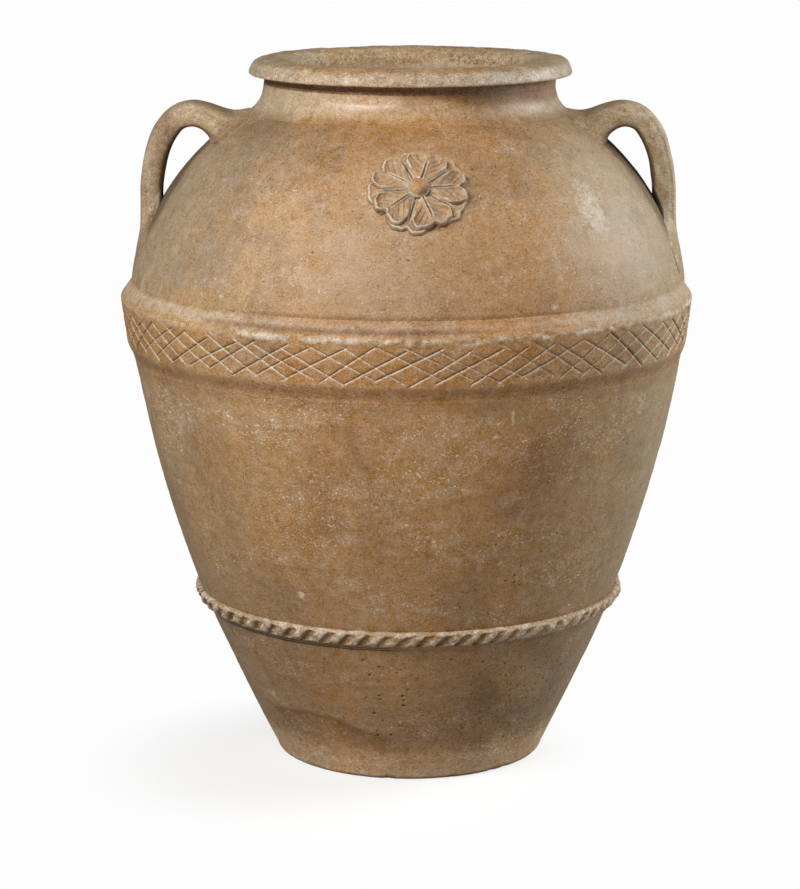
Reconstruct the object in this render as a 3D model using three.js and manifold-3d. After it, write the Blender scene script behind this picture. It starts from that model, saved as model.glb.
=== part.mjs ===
// Terracotta oil jar, built up in stages as a coil potter builds it: a floor slab, four
// wall stages and a rolled rim stand one on another, and a belt, a rope cordon, two strap
// handles and a modelled double rose are pressed on the outside.
// Millimetres, +Z up, with the origin on the ground under the jar's axis.

import * as THREE from "three";
import { mergeVertices } from "three/addons/utils/BufferGeometryUtils.js";
import Module from "manifold-3d";

const wasm = await Module();
wasm.setup();

// Heights of the stages, from the ground up
const LOWER_HEIGHT = 210; // ground to the middle of the cordon
const BELLY_HEIGHT = 315; // cordon to the belt's lower edge
const BELT_WIDTH = 95;
const SHOULDER_HEIGHT = 212; // belt's upper edge to the foot of the neck
const NECK_HEIGHT = 36;
const RIM_HEIGHT = 32;

// Radii of the outside, and of the mouth
const FOOT_RADIUS = 170;
const CORDON_RADIUS = 267;
const BELT_RADIUS = 351.5; // wall behind the belt
const NECK_FOOT_RADIUS = 206;
const NECK_RADIUS = 186;
const RIM_RADIUS = 206;
const MOUTH_RADIUS = 148;

// Curves of the outside
const FOOT_EDGE = 8; // height of the rounded edge of the foot
const FOOT_FLARE = 5; // how far that edge runs out
const BELLY_BULGE = 8; // belly's rise over the straight line between its ends
const SHOULDER_BULGE = 28; // shoulder's rise over the straight line between its ends
const NECK_CORNER = 10; // height of the hollow between shoulder and neck
const NECK_TAPER = 3; // how much the neck draws in above that hollow

// Walls and the joints between the stages
const WALL = 28;
const FLOOR_THICKNESS = 34;
const SLAB_EDGE = 16; // height of the floor slab where it shows outside
const SCARF_RISE = 12; // each joint climbs this much from the outside to the inside
const JOINT_GAP = 0.3; // slip between two pieces

// Rolled rim
const RIM_ROLL = 12; // height of its widest line over its underside
const RIM_UNDERCUT = 2.5; // rise of its underside towards the edge
const RIM_CREST = 28; // mouth's edge to the top of the roll

// Belt
const BELT_PROUD = 14.5; // ridge over the wall
const BELT_EDGE = 2; // thickness at both edges
const BELT_SLOPE = 22; // height of the slope over the ridge
const BELT_ROUND = 7; // rounding of the ridge

// Rope cordon
const ROPE_LOBES = 68;
const ROPE_HALF_HEIGHT = 9.5;
const ROPE_PROUD = 8.5;
const ROPE_NOTCH = 3; // depth of the cuts between the lobes
const ROPE_LEAN = 18; // how far a cut runs along the wall from bottom to top

// Handles. A place is a share of the shoulder's curve: 0 at the belt, 1 at the neck
const HANDLE_TIP_PLACE = 0.05;
const HANDLE_HEEL_PLACE = 0.28;
const HANDLE_CROWN_PLACE = 0.7;
const HANDLE_ROOT_PLACE = 0.885;
const HANDLE_RISE = 48; // middle of the strap over the shoulder at its crown
const HANDLE_WIDTH = 60;
const HANDLE_THICKNESS = 29;
const HANDLE_ROOT_WIDTH = 72;
const HANDLE_ROOT_THICKNESS = 40;
const HANDLE_ROOT_DEPTH = 14; // how far the root is set in before it is cut to the wall
const TONGUE_WIDTH = 57;
const TONGUE_THICKNESS = 19;
const TONGUE_TIP_WIDTH = 44;
const TONGUE_TIP_THICKNESS = 9;
const TONGUE_SINK = 3.5; // middle of the tongue under the shoulder's surface

// Double rose
const ROSE_PLACE = 0.62;
const ROSE_TURN = THREE.MathUtils.degToRad(3); // from the front towards +X
const ROSE_LEAN = THREE.MathUtils.degToRad(15); // first front petal, from upright
const ROSE_PETALS = 5;
const ROSE_RADIUS = 63;
const ROSE_FRONT_RADIUS = 57;
const PETAL_THICKNESS = 5;
const PETAL_CROWN = 2; // swelling of a front petal's lobes
const PETAL_NOTCH = 11; // depth of the notch in a front petal's tip
const PETAL_ROUND = 10; // how far a back petal's tip draws in at its sides
const PETAL_RIM = 3; // thickness at a petal's edge
const PETAL_GAP = 0.8;
const BOSS_RADIUS = 13.5;
const BOSS_STEM_RADIUS = 10;
const BOSS_RISE = 7;

// Fineness of the faceted surfaces
const TURN_STEPS = 48;
const EDGE_STEPS = 2;
const BELLY_STEPS = 4;
const SHOULDER_STEPS = 8;
const NECK_STEPS = 4;
const ROLL_STEPS = 4;
const LOBE_STEPS = 3;
const ROPE_SECTION_STEPS = 5;
const STRAP_SECTION_STEPS = 12;
const STRAP_STEPS = 20;
const PETAL_COLUMNS = 8;
const PETAL_ROWS = 3;
const BOSS_STEPS = 16;

// Levels that the stages share
const cordonLevel = LOWER_HEIGHT;
const beltLevel = cordonLevel + BELLY_HEIGHT;
const shoulderLevel = beltLevel + BELT_WIDTH;
const neckLevel = shoulderLevel + SHOULDER_HEIGHT;
const rimLevel = neckLevel + NECK_HEIGHT;
const topLevel = rimLevel + RIM_HEIGHT;

const clay = (color, roughness) => new THREE.MeshStandardMaterial({ color, roughness, metalness: 0 });

// Arc between two outline points, bulging away from the axis
function arcBetween(start, end, bulge) {
  const chord = end.clone().sub(start);
  const half = chord.length() / 2;
  const radius = (half * half + bulge * bulge) / (2 * bulge);
  const inward = new THREE.Vector2(-chord.y, chord.x).normalize();
  const centre = start.clone().add(end).multiplyScalar(0.5).addScaledVector(inward, radius - bulge);
  const angleTo = (point) => Math.atan2(point.y - centre.y, point.x - centre.x);
  return { centre, radius, from: angleTo(start), to: angleTo(end) };
}

// Point at a share of an arc, raised over it
function arcPoint(arc, share, raised = 0) {
  const angle = THREE.MathUtils.lerp(arc.from, arc.to, share);
  const reach = arc.radius + raised;
  return new THREE.Vector2(
    arc.centre.x + reach * Math.cos(angle),
    arc.centre.y + reach * Math.sin(angle),
  );
}

function arcLine(arc, steps) {
  return Array.from({ length: steps + 1 }, (_, step) => arcPoint(arc, step / steps));
}

const bellyArc = arcBetween(
  new THREE.Vector2(CORDON_RADIUS, cordonLevel),
  new THREE.Vector2(BELT_RADIUS, beltLevel),
  BELLY_BULGE,
);
const shoulderArc = arcBetween(
  new THREE.Vector2(BELT_RADIUS, shoulderLevel),
  new THREE.Vector2(NECK_FOOT_RADIUS, neckLevel),
  SHOULDER_BULGE,
);

// Outside of the jar from the ground to the rim, without the trimmings
function outsideLine() {
  const footEdge = new THREE.QuadraticBezierCurve(
    new THREE.Vector2(FOOT_RADIUS, 0),
    new THREE.Vector2(FOOT_RADIUS + FOOT_FLARE / 2, 0),
    new THREE.Vector2(FOOT_RADIUS + FOOT_FLARE, FOOT_EDGE),
  );
  const neckHollow = new THREE.QuadraticBezierCurve(
    new THREE.Vector2(NECK_FOOT_RADIUS, neckLevel),
    new THREE.Vector2(NECK_RADIUS + NECK_TAPER, neckLevel + NECK_CORNER),
    new THREE.Vector2(NECK_RADIUS, rimLevel),
  );
  return [
    ...footEdge.getPoints(EDGE_STEPS),
    ...arcLine(bellyArc, BELLY_STEPS),
    ...arcLine(shoulderArc, SHOULDER_STEPS),
    ...neckHollow.getPoints(NECK_STEPS).slice(1),
  ];
}

// The same line moved in by a distance square to itself
function movedIn(line, distance) {
  return line.map((point, index) => {
    const before = line[Math.max(index - 1, 0)];
    const after = line[Math.min(index + 1, line.length - 1)];
    const along = after.clone().sub(before).normalize();
    return new THREE.Vector2(point.x - along.y * distance, point.y + along.x * distance);
  });
}

// Radius of a rising line at a level
function radiusAt(line, level) {
  const index = line.findIndex((point) => point.y >= level);
  const above = line[index < 0 ? line.length - 1 : index];
  const below = line[Math.max((index < 0 ? line.length : index) - 1, 0)];
  const share = above.y > below.y ? (level - below.y) / (above.y - below.y) : 0;
  return THREE.MathUtils.lerp(below.x, above.x, share);
}

// Stretch of a rising line between two levels
function stretch(line, low, high) {
  const between = line.filter((point) => point.y > low && point.y < high);
  const at = (level) => new THREE.Vector2(radiusAt(line, level), level);
  return [at(low), ...between, at(high)];
}

const outside = outsideLine();

// Inside of the jar: the wall's inner face, which runs on to the mouth under the neck
function insideLine() {
  const wall = movedIn(outside.filter((point) => point.y <= neckLevel), WALL);
  const [before, last] = wall.slice(-2);
  const slope = (last.y - before.y) / (before.x - last.x);
  const throat = new THREE.Vector2(MOUTH_RADIUS, last.y + slope * (last.x - MOUTH_RADIUS));
  return [...wall, throat, new THREE.Vector2(MOUTH_RADIUS, topLevel)];
}

const inside = insideLine();

// Joints between the stages: each has a level outside and a higher level inside
const scarf = (level) => ({ outer: level, inner: level + SCARF_RISE });
const slabJoint = { outer: SLAB_EDGE, inner: FLOOR_THICKNESS };
const cordonJoint = scarf(cordonLevel);
const beltJoint = scarf(beltLevel + BELT_WIDTH / 2);
const neckJoint = scarf(neckLevel);
const rimJoint = scarf(rimLevel);

// Closed outline turned about the jar's axis
function turned(outline) {
  const onAxis = outline[0].x === 0;
  const profile = onAxis ? outline : [...outline, outline[0].clone()];
  return new THREE.LatheGeometry(profile, TURN_STEPS).rotateX(Math.PI / 2);
}

function baseSlab() {
  return turned([
    new THREE.Vector2(0, 0),
    ...stretch(outside, 0, slabJoint.outer),
    new THREE.Vector2(radiusAt(inside, slabJoint.inner), slabJoint.inner),
    new THREE.Vector2(0, slabJoint.inner),
  ]);
}

// One stage of the wall, from the joint under it to the joint over it
function wallStage(under, over) {
  const outer = stretch(outside, under.outer + JOINT_GAP, over.outer);
  const inner = stretch(inside, under.inner + JOINT_GAP, over.inner);
  return turned([...outer, ...inner.reverse()]);
}

function rimRing() {
  const underside = rimJoint.outer + JOINT_GAP;
  const widest = underside + RIM_ROLL;
  const undercut = underside + RIM_UNDERCUT;
  const crest = MOUTH_RADIUS + RIM_CREST;
  const lip = new THREE.Path();
  lip.moveTo(NECK_RADIUS, underside);
  lip.quadraticCurveTo(RIM_RADIUS, undercut, RIM_RADIUS, widest);
  lip.bezierCurveTo(RIM_RADIUS, topLevel - RIM_UNDERCUT, crest + RIM_ROLL, topLevel, crest, topLevel);
  lip.quadraticCurveTo(MOUTH_RADIUS, topLevel, MOUTH_RADIUS, rimJoint.inner + JOINT_GAP);
  return turned(lip.getPoints(ROLL_STEPS));
}

function beltBand() {
  const back = BELT_RADIUS + JOINT_GAP;
  const ridge = BELT_RADIUS + BELT_PROUD;
  const ridgeLevel = shoulderLevel - BELT_SLOPE;
  const upperEdge = new THREE.Vector2(back + BELT_EDGE, shoulderLevel);
  const corner = new THREE.Vector2(ridge, ridgeLevel);
  const onSlope = corner.clone().lerp(upperEdge, BELT_ROUND / corner.distanceTo(upperEdge));
  const face = new THREE.Path();
  face.moveTo(back, beltLevel);
  face.lineTo(back + BELT_EDGE, beltLevel);
  face.lineTo(ridge, ridgeLevel - BELT_ROUND);
  face.quadraticCurveTo(corner.x, corner.y, onSlope.x, onSlope.y);
  face.lineTo(upperEdge.x, upperEdge.y);
  face.lineTo(back, shoulderLevel);
  return turned(face.getPoints(ROLL_STEPS));
}

// Skin over a row of closed sections, capped at both ends or joined into a ring
function lofted(sections, joined = false) {
  const around = sections[0].length;
  const points = sections.flat();
  const triangles = [];
  const spans = joined ? sections.length : sections.length - 1;
  for (let span = 0; span < spans; span++) {
    const here = span * around;
    const next = ((span + 1) % sections.length) * around;
    for (let k = 0; k < around; k++) {
      const turn = (k + 1) % around;
      triangles.push(here + k, here + turn, next + turn);
      triangles.push(here + k, next + turn, next + k);
    }
  }
  if (!joined) {
    capped(points, triangles, around, 0, true);
    capped(points, triangles, around, (sections.length - 1) * around, false);
  }
  const geometry = new THREE.BufferGeometry().setFromPoints(points);
  return geometry.setIndex(triangles);
}

// Fan over the end section that starts at a point's index
function capped(points, triangles, around, start, first) {
  const middle = new THREE.Vector3();
  for (let k = 0; k < around; k++) {
    middle.addScaledVector(points[start + k], 1 / around);
  }
  const hub = points.push(middle) - 1;
  for (let k = 0; k < around; k++) {
    const turn = (k + 1) % around;
    triangles.push(hub, start + (first ? turn : k), start + (first ? k : turn));
  }
}

// Point at an azimuth, counted from the front towards +X
function atAzimuth(radius, azimuth, level) {
  return new THREE.Vector3(radius * Math.sin(azimuth), -radius * Math.cos(azimuth), level);
}

// Section of the rope cordon: a half round on the wall, drawn in at the cuts
function ropeSection(step) {
  const azimuth = (2 * Math.PI * step) / (ROPE_LOBES * LOBE_STEPS);
  const swell = Math.abs(Math.cos((ROPE_LOBES * azimuth) / 2));
  const cut = ROPE_NOTCH * (1 - Math.sqrt(swell));
  const onWall = (level, proud, lean) => {
    const radius = radiusAt(outside, level) + JOINT_GAP + proud;
    return atAzimuth(radius, azimuth + lean / CORDON_RADIUS, level);
  };
  const front = Array.from({ length: ROPE_SECTION_STEPS + 1 }, (_, k) => {
    const angle = Math.PI * (0.5 - k / ROPE_SECTION_STEPS);
    const level = cordonLevel + (ROPE_HALF_HEIGHT - cut / 3) * Math.sin(angle);
    const proud = Math.max((ROPE_PROUD - cut) * Math.cos(angle), 0);
    return onWall(level, proud, (ROPE_LEAN / 2) * Math.sin(angle));
  });
  return [...front, onWall(cordonLevel, 0, 0)];
}

function ropeCordon() {
  const sections = Array.from({ length: ROPE_LOBES * LOBE_STEPS }, (_, step) => ropeSection(step));
  return lofted(sections, true);
}

// Stations of the strap from the tongue's tip to the root in the shoulder, each with its
// place on the shoulder's curve, its height over it, its thickness and its width
function handleStations() {
  const { lerp } = THREE.MathUtils;
  const arch = (share) => lerp(HANDLE_HEEL_PLACE, HANDLE_CROWN_PLACE, share);
  const fall = (share) => lerp(HANDLE_CROWN_PLACE, HANDLE_ROOT_PLACE, share);
  const thickness = (share) => lerp(TONGUE_THICKNESS, HANDLE_THICKNESS, share);
  const width = (share) => lerp(TONGUE_WIDTH, HANDLE_WIDTH, share);
  const root = (share) => lerp(HANDLE_THICKNESS, HANDLE_ROOT_THICKNESS, share);
  const spread = (share) => lerp(HANDLE_WIDTH, HANDLE_ROOT_WIDTH, share);
  const tonguePlace = lerp(HANDLE_TIP_PLACE, HANDLE_HEEL_PLACE, 0.5);
  return [
    [HANDLE_TIP_PLACE, -TONGUE_SINK, TONGUE_TIP_THICKNESS, TONGUE_TIP_WIDTH],
    [tonguePlace, -TONGUE_SINK, thickness(-0.1), width(0)],
    [HANDLE_HEEL_PLACE, 0.04 * HANDLE_RISE, thickness(0.2), width(-0.2)],
    [arch(0.33), 0.4 * HANDLE_RISE, thickness(0.35), width(-0.2)],
    [arch(0.67), 0.8 * HANDLE_RISE, thickness(0.7), width(0.3)],
    [arch(1), HANDLE_RISE, thickness(1), width(1)],
    [fall(0.6), 0.72 * HANDLE_RISE, root(0.3), spread(0.3)],
    [fall(1), 0.15 * HANDLE_RISE, root(0.75), spread(0.75)],
    [fall(1.3), -HANDLE_ROOT_DEPTH, root(1), spread(1)],
  ];
}

// Rounded oblong section of the strap, square to its run
function strapSection(middle, along, thickness, width) {
  const outward = new THREE.Vector2(along.y, -along.x);
  const rounded = (value) => Math.sign(value) * Math.abs(value) ** (2 / 3);
  return Array.from({ length: STRAP_SECTION_STEPS }, (_, k) => {
    const angle = (2 * Math.PI * k) / STRAP_SECTION_STEPS;
    const across = (-width / 2) * rounded(Math.cos(angle));
    const out = (thickness / 2) * rounded(Math.sin(angle));
    return new THREE.Vector3(middle.x + outward.x * out, across, middle.y + outward.y * out);
  });
}

// Strap on the +X side, cut to the jar's outside
function strapHandle() {
  const stations = handleStations();
  const route = new THREE.CatmullRomCurve3(stations.map(([place, height]) => {
    const point = arcPoint(shoulderArc, place, height);
    return new THREE.Vector3(point.x, 0, point.y);
  }));
  const girth = new THREE.CatmullRomCurve3(stations.map(([, , thickness, width]) => {
    return new THREE.Vector3(thickness, width, 0);
  }));
  const sections = Array.from({ length: STRAP_STEPS + 1 }, (_, step) => {
    const middle = route.getPoint(step / STRAP_STEPS);
    const along = route.getTangent(step / STRAP_STEPS);
    const size = girth.getPoint(step / STRAP_STEPS);
    const run = new THREE.Vector2(along.x, along.z);
    return strapSection(new THREE.Vector2(middle.x, middle.z), run, size.x, size.y);
  });
  const outsideSkin = movedIn(outside, -JOINT_GAP);
  const filled = [new THREE.Vector2(0, 0), ...outsideSkin, new THREE.Vector2(0, rimLevel)];
  return cutAway(lofted(sections), turned(filled));
}

function solidOf(geometry) {
  const bare = geometry.clone();
  bare.deleteAttribute("normal");
  bare.deleteAttribute("uv");
  const merged = mergeVertices(bare);
  return new wasm.Manifold(new wasm.Mesh({
    numProp: 3,
    vertProperties: merged.attributes.position.array,
    triVerts: Uint32Array.from(merged.index.array),
  }));
}

function cutAway(geometry, cutter) {
  const { vertProperties, triVerts } = solidOf(geometry).subtract(solidOf(cutter)).getMesh();
  const result = new THREE.BufferGeometry();
  result.setAttribute("position", new THREE.BufferAttribute(vertProperties, 3));
  return result.setIndex(Array.from(triVerts));
}

// Point over the shoulder, in turns and reach about the middle of the rose
function overRose(reach, angle, height) {
  const arcLength = shoulderArc.radius * (shoulderArc.to - shoulderArc.from);
  const place = ROSE_PLACE + (reach * Math.cos(angle)) / arcLength;
  const foot = arcPoint(shoulderArc, place);
  const point = arcPoint(shoulderArc, place, height);
  return atAzimuth(point.x, ROSE_TURN + (reach * Math.sin(angle)) / foot.x, point.y);
}

// Petal of even floor: tip and crown give its reach and its top from side to side
function petal(middle, halfAngle, floor, tip, crown) {
  const start = BOSS_STEM_RADIUS + PETAL_GAP;
  const sections = Array.from({ length: PETAL_COLUMNS + 1 }, (_, column) => {
    const side = (2 * column) / PETAL_COLUMNS - 1;
    const angle = middle + side * halfAngle;
    const row = (share, height) => overRose(start + (tip(side) - start) * share, angle, height);
    const shares = Array.from({ length: PETAL_ROWS + 1 }, (_, k) => k / PETAL_ROWS);
    const under = shares.map((share) => row(share, floor));
    const over = shares.map((share) => row(share, floor + crown(side, share)));
    return [...under, ...over.reverse()];
  });
  return lofted(sections);
}

const petalHalfAngle = Math.PI / ROSE_PETALS - PETAL_GAP / (2 * BOSS_STEM_RADIUS);
const petalMiddle = (index) => ROSE_LEAN + (2 * Math.PI * index) / ROSE_PETALS;

// Back petals fill the gaps between the front ones, with a rounded tip
function backPetal(index) {
  const tip = (side) => ROSE_RADIUS - PETAL_ROUND * side * side;
  const crown = (side, share) => (share < 1 ? PETAL_THICKNESS : PETAL_RIM);
  const middle = petalMiddle(index) + Math.PI / ROSE_PETALS;
  return petal(middle, petalHalfAngle, JOINT_GAP, tip, crown);
}

// Front petals lie on the back ones, in two lobes with a notch between them
function frontPetal(index) {
  const lobe = (side) => Math.sqrt(Math.max(Math.sin(Math.PI * Math.abs(side)), 0));
  const tip = (side) => ROSE_FRONT_RADIUS - PETAL_NOTCH * (1 - lobe(side));
  const crown = (side, share) => {
    const swell = PETAL_CROWN * lobe(side) * share;
    return swell + (share < 1 ? PETAL_THICKNESS : PETAL_RIM);
  };
  const floor = PETAL_THICKNESS + 2 * JOINT_GAP;
  return petal(petalMiddle(index), petalHalfAngle, floor, tip, crown);
}

// Pellet whose stem stands on the shoulder inside the petals and whose cap lies on them
function roseBoss() {
  const seat = 2 * PETAL_THICKNESS + 3 * JOINT_GAP;
  const cap = new THREE.Path();
  cap.moveTo(0, JOINT_GAP);
  cap.lineTo(BOSS_STEM_RADIUS, JOINT_GAP);
  cap.lineTo(BOSS_STEM_RADIUS, seat);
  cap.lineTo(BOSS_RADIUS, seat);
  cap.absellipse(0, seat, BOSS_RADIUS, BOSS_RISE, 0, Math.PI / 2);
  return new THREE.LatheGeometry(cap.getPoints(ROLL_STEPS), BOSS_STEPS).rotateX(Math.PI / 2);
}

const jar = new THREE.Group();

function addPiece(name, geometry, material) {
  const mesh = new THREE.Mesh(geometry, material);
  mesh.name = name;
  jar.add(mesh);
  return mesh;
}

addPiece("base_slab", baseSlab(), clay(0x9a6c48, 0.9));
addPiece("lower_wall", wallStage(slabJoint, cordonJoint), clay(0xa2724a, 0.88));
addPiece("belly_wall", wallStage(cordonJoint, beltJoint), clay(0xb07b4d, 0.85));
addPiece("shoulder_wall", wallStage(beltJoint, neckJoint), clay(0xb3804f, 0.82));
addPiece("neck_collar", wallStage(neckJoint, rimJoint), clay(0xa87a4f, 0.75));
addPiece("rim_ring", rimRing(), clay(0x98785a, 0.8));
addPiece("belt_band", beltBand(), clay(0xa5754c, 0.88));
addPiece("rope_cordon", ropeCordon(), clay(0xa77a54, 0.9));

const strap = strapHandle();
addPiece("handle_right", strap, clay(0x9b7550, 0.85));
addPiece("handle_left", strap.clone(), clay(0xa47a50, 0.85)).rotation.z = Math.PI;

for (let index = 0; index < ROSE_PETALS; index++) {
  addPiece(`rose_outer_petal_${index + 1}`, backPetal(index), clay(0xa67747, 0.85));
  addPiece(`rose_inner_petal_${index + 1}`, frontPetal(index), clay(0xb18250, 0.85));
}

const roseMiddle = arcPoint(shoulderArc, ROSE_PLACE);
const roseTilt = THREE.MathUtils.lerp(shoulderArc.from, shoulderArc.to, ROSE_PLACE);
const roseOut = atAzimuth(Math.cos(roseTilt), ROSE_TURN, Math.sin(roseTilt));
const boss = addPiece("rose_boss", roseBoss(), clay(0xb58a5a, 0.8));
boss.position.copy(atAzimuth(roseMiddle.x, ROSE_TURN, roseMiddle.y));
boss.quaternion.setFromUnitVectors(new THREE.Vector3(0, 0, 1), roseOut);

export default jar;
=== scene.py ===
"""Weathered terracotta oil jar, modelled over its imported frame.

The jar is built up as a coil potter builds it: a floor slab, wall stages and a rolled rim stand one
on another, and a belt, a rope cordon, two strap handles and a modelled double rose are pressed on.
"""

import math
import random

import bmesh
import bpy
import numpy as np
from bpy.props import FloatProperty, FloatVectorProperty, IntProperty, PointerProperty
from bpy.types import Operator, Panel, PropertyGroup, Scene
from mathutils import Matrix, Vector, noise


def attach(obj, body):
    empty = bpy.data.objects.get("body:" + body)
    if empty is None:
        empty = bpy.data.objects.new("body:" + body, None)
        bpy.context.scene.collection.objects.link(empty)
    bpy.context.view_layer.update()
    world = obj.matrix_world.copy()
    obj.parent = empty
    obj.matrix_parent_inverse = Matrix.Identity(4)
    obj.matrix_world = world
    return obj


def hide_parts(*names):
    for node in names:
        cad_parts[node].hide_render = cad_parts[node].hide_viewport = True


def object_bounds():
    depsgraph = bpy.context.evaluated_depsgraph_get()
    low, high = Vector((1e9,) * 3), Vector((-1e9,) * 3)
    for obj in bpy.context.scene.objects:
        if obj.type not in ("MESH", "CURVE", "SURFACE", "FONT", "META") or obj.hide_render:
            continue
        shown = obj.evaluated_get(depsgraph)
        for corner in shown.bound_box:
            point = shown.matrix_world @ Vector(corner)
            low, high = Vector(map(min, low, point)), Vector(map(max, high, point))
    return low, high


bl_info = {
    "name": "Terracotta Oil Jar",
    "version": (1, 0, 0),
    "blender": (4, 5, 0),
    "location": "View3D > Sidebar > Oil Jar",
    "description": "Models a weathered terracotta oil jar over its packed frame",
    "category": "Add Mesh",
}

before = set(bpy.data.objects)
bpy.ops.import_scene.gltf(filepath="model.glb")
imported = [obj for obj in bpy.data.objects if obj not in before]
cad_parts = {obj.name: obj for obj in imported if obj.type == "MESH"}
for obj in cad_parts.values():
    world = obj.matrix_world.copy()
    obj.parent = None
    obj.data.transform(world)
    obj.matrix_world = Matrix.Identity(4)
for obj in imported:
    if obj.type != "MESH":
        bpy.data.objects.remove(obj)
cad_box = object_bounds()

BODY = "root"
SECTORS = 16


# Kinds of setting
def length(name, default, description):
    return FloatProperty(
        name=name, description=description, default=default, subtype="DISTANCE", unit="LENGTH", precision=4
    )


def plain_number(name, default, description, unit="NONE"):
    return FloatProperty(name=name, description=description, default=default, unit=unit, precision=3)


def angle(name, degrees, description):
    return FloatProperty(
        name=name, description=description, default=math.radians(degrees), subtype="ANGLE", unit="ROTATION"
    )


def count(name, default, description):
    return IntProperty(name=name, description=description, default=default, min=1)


def colour(name, default, description):
    return FloatVectorProperty(
        name=name, description=description, default=default, subtype="COLOR", size=3, min=0.0, max=1.0
    )


class JarSizes(PropertyGroup):
    """Outline of the wall, from the ground up"""

    foot_radius: length("Foot radius", 0.1692, "Radius of the flat foot")
    foot_edge: length("Foot edge", 0.008, "Height of the rounded edge of the foot")
    foot_flare: length("Foot flare", 0.0062, "How far that edge runs out")
    lower_bulge: length("Lower bulge", 0.0018, "Rise of the lower wall over a straight line")
    cordon_level: length("Cordon level", 0.210, "Middle of the rope cordon")
    cordon_radius: length("Cordon radius", 0.267, "Wall behind the rope cordon")
    belly_bulge: length("Belly bulge", 0.0072, "Rise of the belly over a straight line")
    belt_level: length("Belt level", 0.525, "Lower edge of the belt")
    belt_radius: length("Belt radius", 0.3515, "Wall behind the belt")
    shoulder_level: length("Shoulder level", 0.620, "Upper edge of the belt")
    shoulder_bulge: length("Shoulder bulge", 0.028, "Rise of the shoulder over a straight line")
    neck_level: length("Neck level", 0.832, "Foot of the neck")
    neck_foot_radius: length("Neck foot radius", 0.204, "Radius where the neck stands on the shoulder")
    neck_radius: length("Neck radius", 0.1848, "Radius of the neck under the rim")
    neck_corner: length("Neck corner", 0.0122, "Height of the hollow between shoulder and neck")
    rim_level: length("Rim level", 0.868, "Underside of the rim")
    rim_radius: length("Rim radius", 0.2048, "Widest line of the rim")
    lip_height: length("Lip height", 0.0212, "Height of the flat lip of the rim")
    mouth_radius: length("Mouth radius", 0.148, "Radius of the mouth")
    top_level: length("Top level", cad_box[1].z, "Top of the rim")
    wall: length("Wall", 0.028, "Thickness of the wall")
    floor: length("Floor", 0.034, "Thickness of the floor slab")
    slab_edge: length("Slab edge", 0.016, "Height of the floor slab where it shows outside")
    scarf: length("Joint rise", 0.012, "How much a joint climbs from the outside to the inside")
    turn_steps: count("Turn steps", 480, "Steps round the jar")
    waver: length("Waver", 0.0011, "Slow unevenness of the hand-built wall")
    wiping: length("Wiping", 0.00028, "Height of the marks that the wet hand left round the jar")


class BeltSizes(PropertyGroup):
    """Belt with its cross-hatch"""

    low_level: length("Low level", 0.516, "Feathered lower edge of the belt")
    ridge_level: length("Ridge level", 0.598, "Level of the ridge")
    ridge_radius: length("Ridge radius", 0.366, "Radius of the ridge")
    hatch_top: length("Hatch top", 0.593, "Upper ends of the cuts")
    hatch_bottom: length("Hatch bottom", 0.5435, "Lower ends of the cuts")
    hatch_run: length("Hatch run", 0.081, "How far a cut runs along the belt")
    strokes: count("Strokes", 61, "Cuts in each direction")
    cut_width: length("Cut width", 0.0036, "Width of a cut")
    cut_depth: length("Cut depth", 0.0022, "Depth of a cut")
    turn_steps: count("Turn steps", 1296, "Steps round the belt")


class RopeSizes(PropertyGroup):
    """Rope cordon"""

    lobes: count("Lobes", 70, "Pressed lobes round the jar")
    half_height: length("Half height", 0.0105, "Half of the cordon's height")
    proud: length("Proud", 0.0090, "How far the cordon stands out")
    notch: length("Notch", 0.0053, "Depth of the presses between the lobes")
    lean: length("Lean", 0.020, "How far a press runs along the wall from bottom to top")
    sector_steps: count("Sector steps", 66, "Steps along a sixteenth of the cordon")


class HandleSizes(PropertyGroup):
    """Strap handles"""

    rise: length("Rise", 0.0475, "Middle of the strap over the shoulder at its crown")
    width: length("Width", 0.064, "Width of the strap")
    thickness: length("Thickness", 0.0310, "Thickness of the strap at its crown")
    forward: length("Forward", 0.008, "How far the straps stand towards the front")
    smear: length("Smear", 0.030, "How far the tongue is smeared over the shoulder")
    root_smear: length("Root smear", 0.014, "How far the root is smeared to the front and the back")
    root_climb: length("Root climb", 0.011, "How far the root is smeared up the shoulder")
    fillet: length("Fillet", 0.006, "How far the corner between root and shoulder is filled")
    round_steps: count("Round steps", 72, "Steps round the strap")
    run_steps: count("Run steps", 180, "Steps along the strap")


class RoseSizes(PropertyGroup):
    """Double rose on the shoulder"""

    place: plain_number("Place", 0.602, "Middle of the rose as a share of the shoulder's curve")
    turn: angle("Turn", 2.3, "Middle of the rose, from the front towards the right")
    lean: angle("Lean", 15, "First front petal, from upright")
    petals: count("Petals", 5, "Petals in each layer")
    squat: plain_number("Squat", 0.92, "Height of the rose as a share of its width")
    back_radius: length("Back radius", 0.063, "Reach of the back petals")
    front_radius: length("Front radius", 0.058, "Reach of the front petals")
    petal_start: length("Petal start", 0.0100, "Inner ends of the petals, from the middle of the rose")
    thickness: length("Thickness", 0.0043, "Thickness of a petal")
    boss_stem: length("Boss stem", 0.0098, "Radius of the pellet where it passes the petals")
    boss_radius: length("Boss radius", 0.0130, "Radius of the middle pellet")
    boss_rise: length("Boss rise", 0.0105, "Height of the pellet's dome")


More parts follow.
